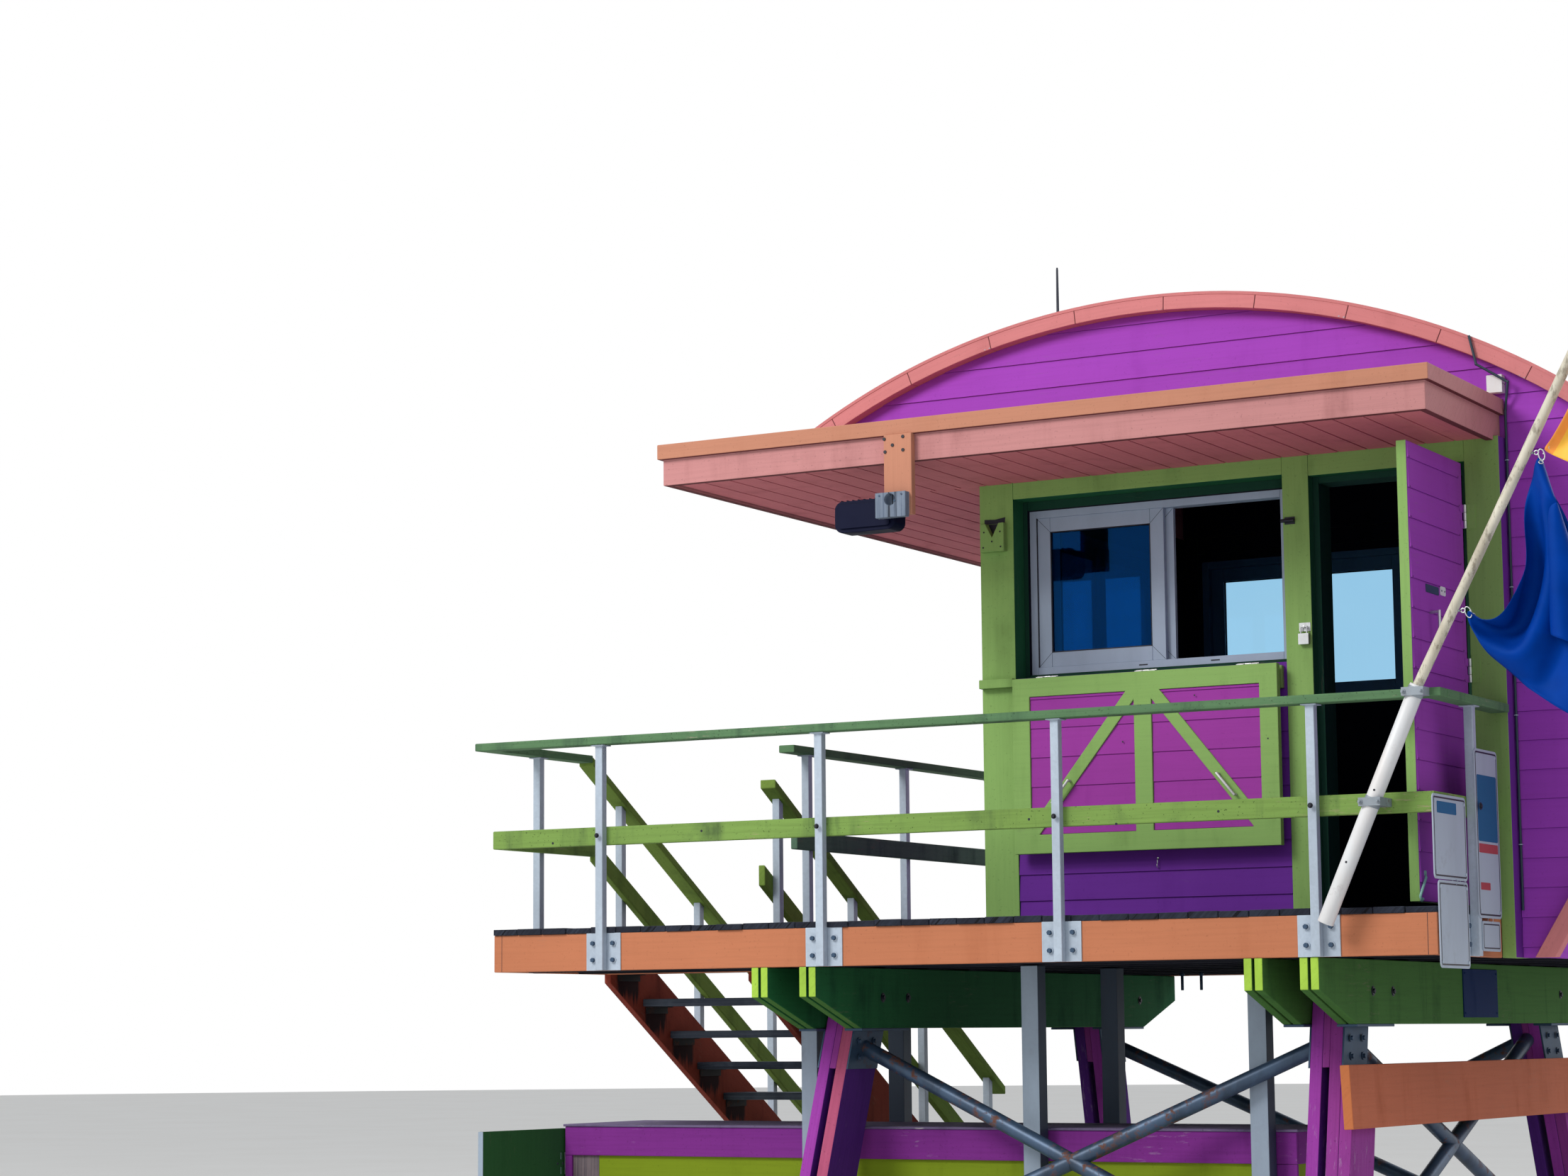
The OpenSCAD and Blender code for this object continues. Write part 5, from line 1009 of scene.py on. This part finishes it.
# old holes in the middle rail, the shutter and the low wall
for x, z in ((2.93, 2.60), (3.36, 2.563), (3.85, 2.60), (1.2, 2.61), (0.35, 2.58)):
    kit.rod(T(x, -0.0057, z), T(x, -0.0066, z), 0.006)
for x, y, z in ((3.42, 0.776, 3.20), (3.78, 0.776, 2.98), (3.05, 0.776, 3.0), (2.36, 0.856, 2.62)):
    kit.rod(T(x, y + 0.0005, z), T(x, y - 0.0006, z), 0.004, 10)
kit.done("dark_seams_and_painted_shade", "black", "black_metal")

# the hook under the shutter
kit = Kit()
bend = [T(3.182, 0.856 - 0.012 * math.sin(a), 2.418 + 0.012 * math.cos(a))
        for a in np.linspace(0.2, math.pi * 1.5, 14)[1:]]
kit.sweep([T(3.182, 0.8585, 2.452), T(3.182, 0.852, 2.450), T(3.182, 0.850, 2.434)] + bend, 0.0022, 8)
kit.head(T(3.182, 0.8585, 2.452), NEG_Y, 0.005, 0.002)
kit.done("shutter_hook", "steel", "fittings")

# lip along the rims' upper edge, with its grey end where the arch starts
RIM_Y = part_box("roof_rims")[0][1] + OY
rim_start = math.pi - math.asin((CANOPY_TOP - ARC_Z) / ROOF_R)
rim_step = (rim_start - meet(ROOF_R, 0)[1]) / 12
stops = np.linspace(wall_angle + 0.004, rim_start - 0.004, 73)
kit = Kit()
for y, s in both(RIM_Y):
    for k, ends in enumerate(zip(stops, stops[1:])):
        low, high = [[on_arch(ROOF_R + lift, angle, y + s * d) for lift, d in
                      ((-0.013, -0.001), (0.001, -0.001), (0.001, 0.004), (-0.013, 0.0025))]
                     for angle in ends]
        kit.loft(low, high, 1 if k > 69 else 0)
kit.done("rim_lip", ("salmon", "greywood"), "salmon")

# joints between the rims' lengths, and white sealant under every second one
kit = Kit()
for y, s in both(RIM_Y):
    for k in range(1, 12):
        t = rim_start - k * rim_step
        radial, along = Vector((math.cos(t), 0, math.sin(t))), Vector((-math.sin(t), 0, math.cos(t)))
        c = T(ARC_X, y + s * 0.0004, ARC_Z)
        kit.board(c + radial * (ROOF_R - 0.0775), c + radial * (ROOF_R - 0.014), along, 0.0028, 0.0014)
kit.done("rim_joints", "seam", "salmon")
kit = Kit()
for y, s in both(RIM_Y):
    for k, (down, w) in enumerate(((0.072, 0.007), (0.074, 0.005), (0.071, 0.008), (0.074, 0.006),
                                   (0.073, 0.005))):
        for d in (0.002, 0.009):
            at = on_arch(ROOF_R - down, rim_start - (3 + 2 * k) * rim_step + d, y)
            kit.plate(at, X * -s, w, w * 0.6, 0.0007, 0.002, 0, 2)
kit.done("rim_sealant", "sign", "sign_white")

# plain patch on the beam, and the grey board behind the locker's end
kit = Kit()
kit.box((4.2925, 1.890, 1.700), (4.2985, 2.400, 1.930))
for y in (1.91, 2.38):
    for z in (1.72, 1.91):
        kit.head(T(4.2985, y, z), X, 0.005, 0.003)
kit.done("beam_patch", "patch", "dark_steel", bevel=0.001)
kit = Kit()
kit.box((-0.049, 0.7856, 0.000), (0.105, 0.7885, 1.043))
kit.done("locker_post", "greypost", "lid_wood", bevel=0.0008)

# rail signs: rounded plates with a thin line round them and plain fields

SIGN_X, FIELD_X = 4.8772, 4.8817
kit = Kit()
kit.board(T(4.8535, 0.150, 1.997), T(4.8535, 0.150, 2.087), X, 0.047, 0.140, 3)
for z in (2.02, 2.064):
    kit.bolt(T(4.8765, 0.100, z), X, 0.006, 0.004, 3)
for y, z, w, h, r in ((0.047, 2.451, 0.426, 0.358, 0.022), (0.070, 2.084, 0.380, 0.368, 0.022),
                      (0.555, 2.490, 0.310, 0.736, 0.026), (0.560, 2.044, 0.240, 0.130, 0.012)):
    kit.plate(T(SIGN_X, y, z), Y, w, h, 0.0045, r)
    kit.line_round(T(SIGN_X + 0.0045, y, z), Y, w - 0.022, h - 0.022, 0.007, 0.0006,
                   max(r - 0.010, 0.006), 1)
for y, z, w, h, r, mat in ((0.012, 2.575, 0.250, 0.050, 0.006, 2), (0.555, 2.600, 0.262, 0.290, 0.010, 2),
                           (0.555, 2.425, 0.256, 0.040, 0.004, 4), (0.500, 2.260, 0.130, 0.032, 0.004, 4)):
    kit.plate(T(FIELD_X, y, z), Y, w, h, 0.0006, r, mat)
for ys, zs in (((-0.14, 0.235), (2.600, 2.300)), ((-0.10, 0.235), (2.240, 1.925)),
               ((0.430, 0.680), (2.830, 2.150))):
    for z in zs:
        for y in ys:
            kit.bolt(T(FIELD_X, y, z), X, 0.0045, 0.0025, 3, 12)
for y, z in ((0.20, 2.265), (0.10, 2.265), (0.555, 2.115)):
    kit.ring(T(4.8795, y, z), Y, 0.012, 0.0012, 14, 3)
kit.done("sign_plates", ("sign", "ink", "header", "galv", "redbar"), "sign_white", bevel=0.0004,
         segments=1, stands_for="rail_signs")

# pole, its sleeve, eyes and clips

FOOT, SLEEVE_TOP, TOP = T(4.370, POLE_Y, 2.097), T(4.815, POLE_Y, 3.092), T(5.861, POLE_Y, 5.067)
sleeve_way, pole_way = (SLEEVE_TOP - FOOT).normalized(), (TOP - SLEEVE_TOP).normalized()
length, reach = (SLEEVE_TOP - FOOT).length, (TOP - SLEEVE_TOP).length
kit = Kit()
kit.lathe(FOOT, sleeve_way, [(0.10, 0.029), (0.001, 0.030), (0.0, 0.0315), (0.0, 0.0335), (0.002, 0.035),
                             (length - 0.002, 0.035), (length, 0.033), (length, 0.024)], 40, 0)
kit.lathe(SLEEVE_TOP, pole_way, [(d, 0.0218 + 0.0005 * math.sin(7 * d) + 0.0004 * math.sin(23 * d))
                                 for d in np.linspace(-0.05, reach - 0.006, 46)]
          + [(reach - 0.001, 0.0185), (reach, 0.012)], 36, 1)
for z in (3.397, 4.041, 4.685):
    c = SLEEVE_TOP + pole_way * ((z - SLEEVE_TOP.z) / pole_way.z)
    kit.rod(c - X * 0.0225, c - X * 0.0262, 0.0065, 12, 2)
    kit.sweep([c + X * d for d in (0.018, 0.040)], 0.0035, 10, 2)
    kit.ring(c + X * 0.047, Y, 0.009, 0.003, 18, 3)
for d in (0.28, 0.61):
    c = FOOT + sleeve_way * d
    kit.rod(c + NEG_Y * 0.0345, c + NEG_Y * 0.0355, 0.005, 14, 2)
kit.done("pole_and_sleeve", ("sleeve", "pole", "black", "steel"), "pole_white", stands_for="flag_pole")

# spring hooks between the eyes and the flags' corners
kit = Kit()
for x, z, dx, dz in ((5.046, 3.388, 0.35, -0.9), (5.386, 4.030, 0.2, -0.95), (5.724, 4.678, 0.1, -0.98)):
    c = T(x, POLE_Y, z)
    kit.ring(c, Y, 0.013, 0.0026, 24, 0, 1.9, Vector((dx, 0, dz)))
    kit.rod(c + Vector((0.010, -0.004, 0.004)), c + Vector((0.010, 0.004, 0.004)), 0.0035, 10)
kit.done("spring_hooks", "steel", "fittings")

# clamp screws and straps
STRAP = [(0, 0.0352), (0, 0.0375), (0.040, 0.0375), (0.040, 0.0352)]
kit = Kit()
for c in (T(4.597, POLE_Y, 2.606), T(4.803, POLE_Y, 3.065)):
    for s in (-0.040, 0.040):
        p = c + Vector((s, -0.043, 0))
        kit.rod(p + Y * 0.002, p - Y * 0.0035, 0.011, 18)
        kit.head(p - Y * 0.0035, NEG_Y, 0.0075, 0.007, 0, 6)
        kit.rod(p - Y * 0.010, p - Y * 0.016, 0.0042)
    kit.lathe(c - sleeve_way * 0.020, sleeve_way, STRAP, 40)
kit.done("clamp_screws", "clamp", "galvanised", bevel=0.0005, segments=1)

# antenna, light, door and locker details

kit = Kit()
kit.lathe(T(2.510, 1.300, 5.088), Z, [(0, 0.015), (0.012, 0.015), (0.016, 0.011), (0.055, 0.011),
                                      (0.060, 0.0075), (0.20, 0.0068), (0.350, 0.0055),
                                      (0.3605, 0.004), (0.362, 0.002)], 20)
kit.done("whip_antenna", "rod", "dark_steel", stands_for="antenna")

kit = Kit()
kit.plate(T(2.127, -0.0582, 4.050), X, 0.268, 0.112, 0.0022, 0.014, 1)
for k in range(9):
    kit.box((1.990 + 0.030 * k, -0.030, 4.1245), (1.996 + 0.030 * k, 0.050, 4.1325), 1)
kit.done("light_lens", ("ink", "navy"), "black_metal", bevel=0.001)

# nails in every lap of the door's siding, its hook and the lock's plates
kit = Kit()
for k in range(15):
    z = LINE + PITCH * k + 0.008
    if 2.232 < z < 4.182:
        for y in (0.128, 0.778):
            kit.rod(T(4.7262, y, z), T(4.7274, y, z), 0.0032, 10)
kit.sweep([T(*p) for p in ((4.7235, 0.165, 2.300), (4.731, 0.160, 2.292), (4.731, 0.100, 2.230),
                           (4.729, 0.084, 2.208), (4.729, 0.100, 2.190), (4.729, 0.118, 2.198))],
          0.006, 10, 1)
kit.plate(T(4.7225, 0.168, 2.304), Y, 0.034, 0.034, 0.003, 0.008, 1)
kit.plate(T(4.7235, 0.380, 3.560), Y, 0.170, 0.036, 0.002, 0.006, 2)
kit.plate(T(4.7235, 0.520, 3.568), Y, 0.070, 0.040, 0.003, 0.010, 3)
for y in (0.500, 0.540):
    kit.head(T(4.7265, y, 3.568), X, 0.004, 0.002, 2)
kit.done("door_nails_and_hook", ("black", "teal", "plate", "sleeve"), "black_metal", "door")

kit = Kit()
for z in (0.198, 1.003):
    for y in (0.70, 0.745, 0.79):
        kit.head(T(-0.0905, y, z), X, 0.006, 0.004)
kit.box((-0.0915, 0.120, 0.560), (-0.0875, 0.190, 0.600))
kit.ring(T(-0.0845, 0.150, 0.580), Z, 0.014, 0.003, 18)
kit.done("locker_hasp", "rod", "fittings", "locker_leaf", bevel=0.0008)


# flags

def drape(top, low, hoist, fly, wind, seed, nu, nv, steps, way):
    """Cloth hung by two corners and settled by gravity and a light wind, step by step."""
    pins = [np.array(top), np.array(low)]
    out = np.array(way) / np.linalg.norm(way)
    s, k = np.linspace(0, 1, nu)[:, None], np.linspace(0, 1, nv)[None, :]
    slack = math.sqrt(max(0.0, hoist ** 2 - (top - low).length ** 2)) * 0.5
    grid = pins[0] + (pins[1] - pins[0]) * k[..., None] + out * (fly * s)[..., None]
    grid += out * (slack * np.sin(math.pi * k) * (1 - s))[..., None]
    grid[:, :, 1] += 0.04 * np.sin(7 * s + 6 * k + seed) * s
    # threads along the fly and the hoist and across both, and stiffer ones three cells long
    du, dv = fly / (nu - 1), hoist / (nv - 1)
    ii, jj = np.meshgrid(np.arange(nu), np.arange(nv), indexing="ij")
    sets = []
    for (a, b), rest, soft in (((1, 0), du, 1.0), ((0, 1), dv, 1.0), ((1, 1), math.hypot(du, dv), 0.4),
                               ((1, -1), math.hypot(du, dv), 0.4), ((3, 0), 3 * du, 0.15),
                               ((0, 3), 3 * dv, 0.15)):
        for phase in (0, 1):
            i0 = ii[:nu - a, max(0, -b):nv - max(0, b)]
            j0 = jj[:nu - a, max(0, -b):nv - max(0, b)]
            pick = ((i0 // max(1, a) if a else j0 // max(1, b)) % 2) == phase
            p, r = i0[pick], j0[pick]
            sets.append((p * nv + r, (p + a) * nv + r + b, rest, soft))
    fixed = np.ones((nu * nv, 1))
    fixed[0] = fixed[nv - 1] = 0
    reach = [np.hypot(ii * du, jj * dv).reshape(-1, 1), np.hypot(ii * du, (nv - 1 - jj) * dv).reshape(-1, 1)]
    x = grid.reshape(-1, 3)
    old = x.copy()
    for step in range(steps):
        gust = np.stack([np.full((nu, nv), wind), 0.5 * np.sin(9 * ii / nu + 4 * jj / nv + 0.03 * step + seed),
                         0 * ii], -1).reshape(-1, 3)
        move = (x - old) * 0.975 + (np.array([0, 0, -9.8]) + gust) * 0.00015
        old = x.copy()
        x = x + move * fixed
        for _ in range(6):
            for p, q, rest, soft in sets:
                d = x[q] - x[p]
                dist = np.linalg.norm(d, axis=1, keepdims=True)
                push = (1 - rest / np.maximum(dist, 1e-9)) * 0.5 * soft
                if soft < 0.3:
                    push = np.where(dist < rest, push, 0)
                x[p] += d * push * fixed[p]
                x[q] -= d * push * fixed[q]
            for pin, far in zip(pins, reach):
                d = x - pin
                dist = np.linalg.norm(d, axis=1, keepdims=True)
                x = np.where(dist > far, pin + d * far / np.maximum(dist, 1e-9), x)
    return x.reshape(nu, nv, 3)


def flag(name, node, top, low, hoist, fly, wind, mats, slot, seed, nu, nv, steps, way):
    """Settled cloth with steel eyes in its corners; given a second material, its first cells along the hoist
    take it as a hem band.
    """
    grid = drape(top, low, hoist, fly, wind, seed, nu, nv, steps, way)
    bm = bmesh.new()
    uv = bm.loops.layers.uv.verify()
    verts = [[bm.verts.new(grid[i, j]) for j in range(nv)] for i in range(nu)]
    for i in range(nu - 1):
        for j in range(nv - 1):
            cell = ((i, j), (i + 1, j), (i + 1, j + 1), (i, j + 1))
            f = bm.faces.new([verts[a][b] for a, b in cell])
            f.smooth = True
            f.material_index = 1 if i < 2 and len(mats) > 1 else 0
            for loop, (a, b) in zip(f.loops, cell):
                loop[uv].uv = (a / (nu - 1) * fly, b / (nv - 1) * hoist)
    obj = place(name, bm, mats, slot, stands_for=node)
    sub = obj.modifiers.new("Subdivision", "SUBSURF")
    sub.levels = sub.render_levels = 1
    solid = obj.modifiers.new("Solidify", "SOLIDIFY")
    solid.thickness, solid.offset = 0.0014, 0.0
    kit = Kit()
    for i, j in ((0, 0), (0, nv - 1), (nu - 1, 0), (nu - 1, nv - 1)):
        a, b = (1 if i == 0 else i - 1), (1 if j == 0 else j - 1)
        c, p, q = Vector(grid[a, b]), Vector(grid[i, b]), Vector(grid[a, j])
        kit.ring(c, (p - c).cross(q - c), 0.009, 0.0022, 16)
    kit.done(name + "_eyes", "steel", "fittings")


flag("blue_cloth", "blue_flag", T(5.377, POLE_Y, 4.028), T(5.042, POLE_Y, 3.396), 0.90, 0.70, 1.6,
     ("blue",), "flag_blue", 0.4, 34, 38, 420, (0.6, 0.0, -0.8))
flag("yellow_cloth", "yellow_flag", T(5.716, POLE_Y, 4.680), T(5.395, POLE_Y, 4.052), 0.715, 0.60, 5.5,
     ("yellow", "hem"), "flag_yellow", 2.1, 28, 30, 300, (0.88, 0.0, -0.45))

# world, lamps and floor

sky = Shader("World", bpy.data.worlds.new("World"))
bpy.context.scene.world = sky.owner
path = sky.put("LightPath").outputs
seen = sky.calc("MAXIMUM", path["Is Camera Ray"],
                sky.calc("MAXIMUM", path["Is Glossy Ray"], path["Is Transmission Ray"]))
light = sky.put("Background", Color=(0.93, 0.96, 1.0, 1), Strength=0.62)
white = sky.put("Background", Color=(1, 1, 1, 1), Strength=1.0)
shown = sky.put("MixShader", i0=seen, i1=light.outputs[0], i2=white.outputs[0])
sky.put("OutputWorld", Surface=shown.outputs[0])


def lamp(name, at, target, power, colour, size=7.0):
    data = bpy.data.lights.new(name, "AREA")
    data.shape = "DISK"
    data.size, data.energy, data.color = size, power, colour
    obj = bpy.data.objects.new(name, data)
    bpy.context.scene.collection.objects.link(obj)
    obj.location = at
    obj.rotation_euler = (target - at).to_track_quat("-Z", "Y").to_euler()


lamp("Key", Vector((-7, -14, 13)), Vector((0.5, 0, 2.6)), 2200, (1.0, 0.97, 0.93))
lamp("Rim", Vector((9, 10, 10)), Vector((0, 0, 2.5)), 420, (0.95, 0.98, 1.0))

s = Shader("pale_floor")
obj, _ = s.places()
pale = s.finish(Base_Color=s.mix(s.noise(obj, 0.6, 3), srgb((232, 230, 226)), srgb((240, 239, 236))),
                Roughness=0.9)
bm = bmesh.new()
bmesh.ops.create_circle(bm, cap_ends=True, radius=90, segments=64)
mesh = bpy.data.meshes.new("Floor")
bm.to_mesh(mesh)
bm.free()
floor = bpy.data.objects.new("Floor", mesh)
bpy.context.scene.collection.objects.link(floor)
mesh.materials.append(pale)

bpy.context.view_layer.update()
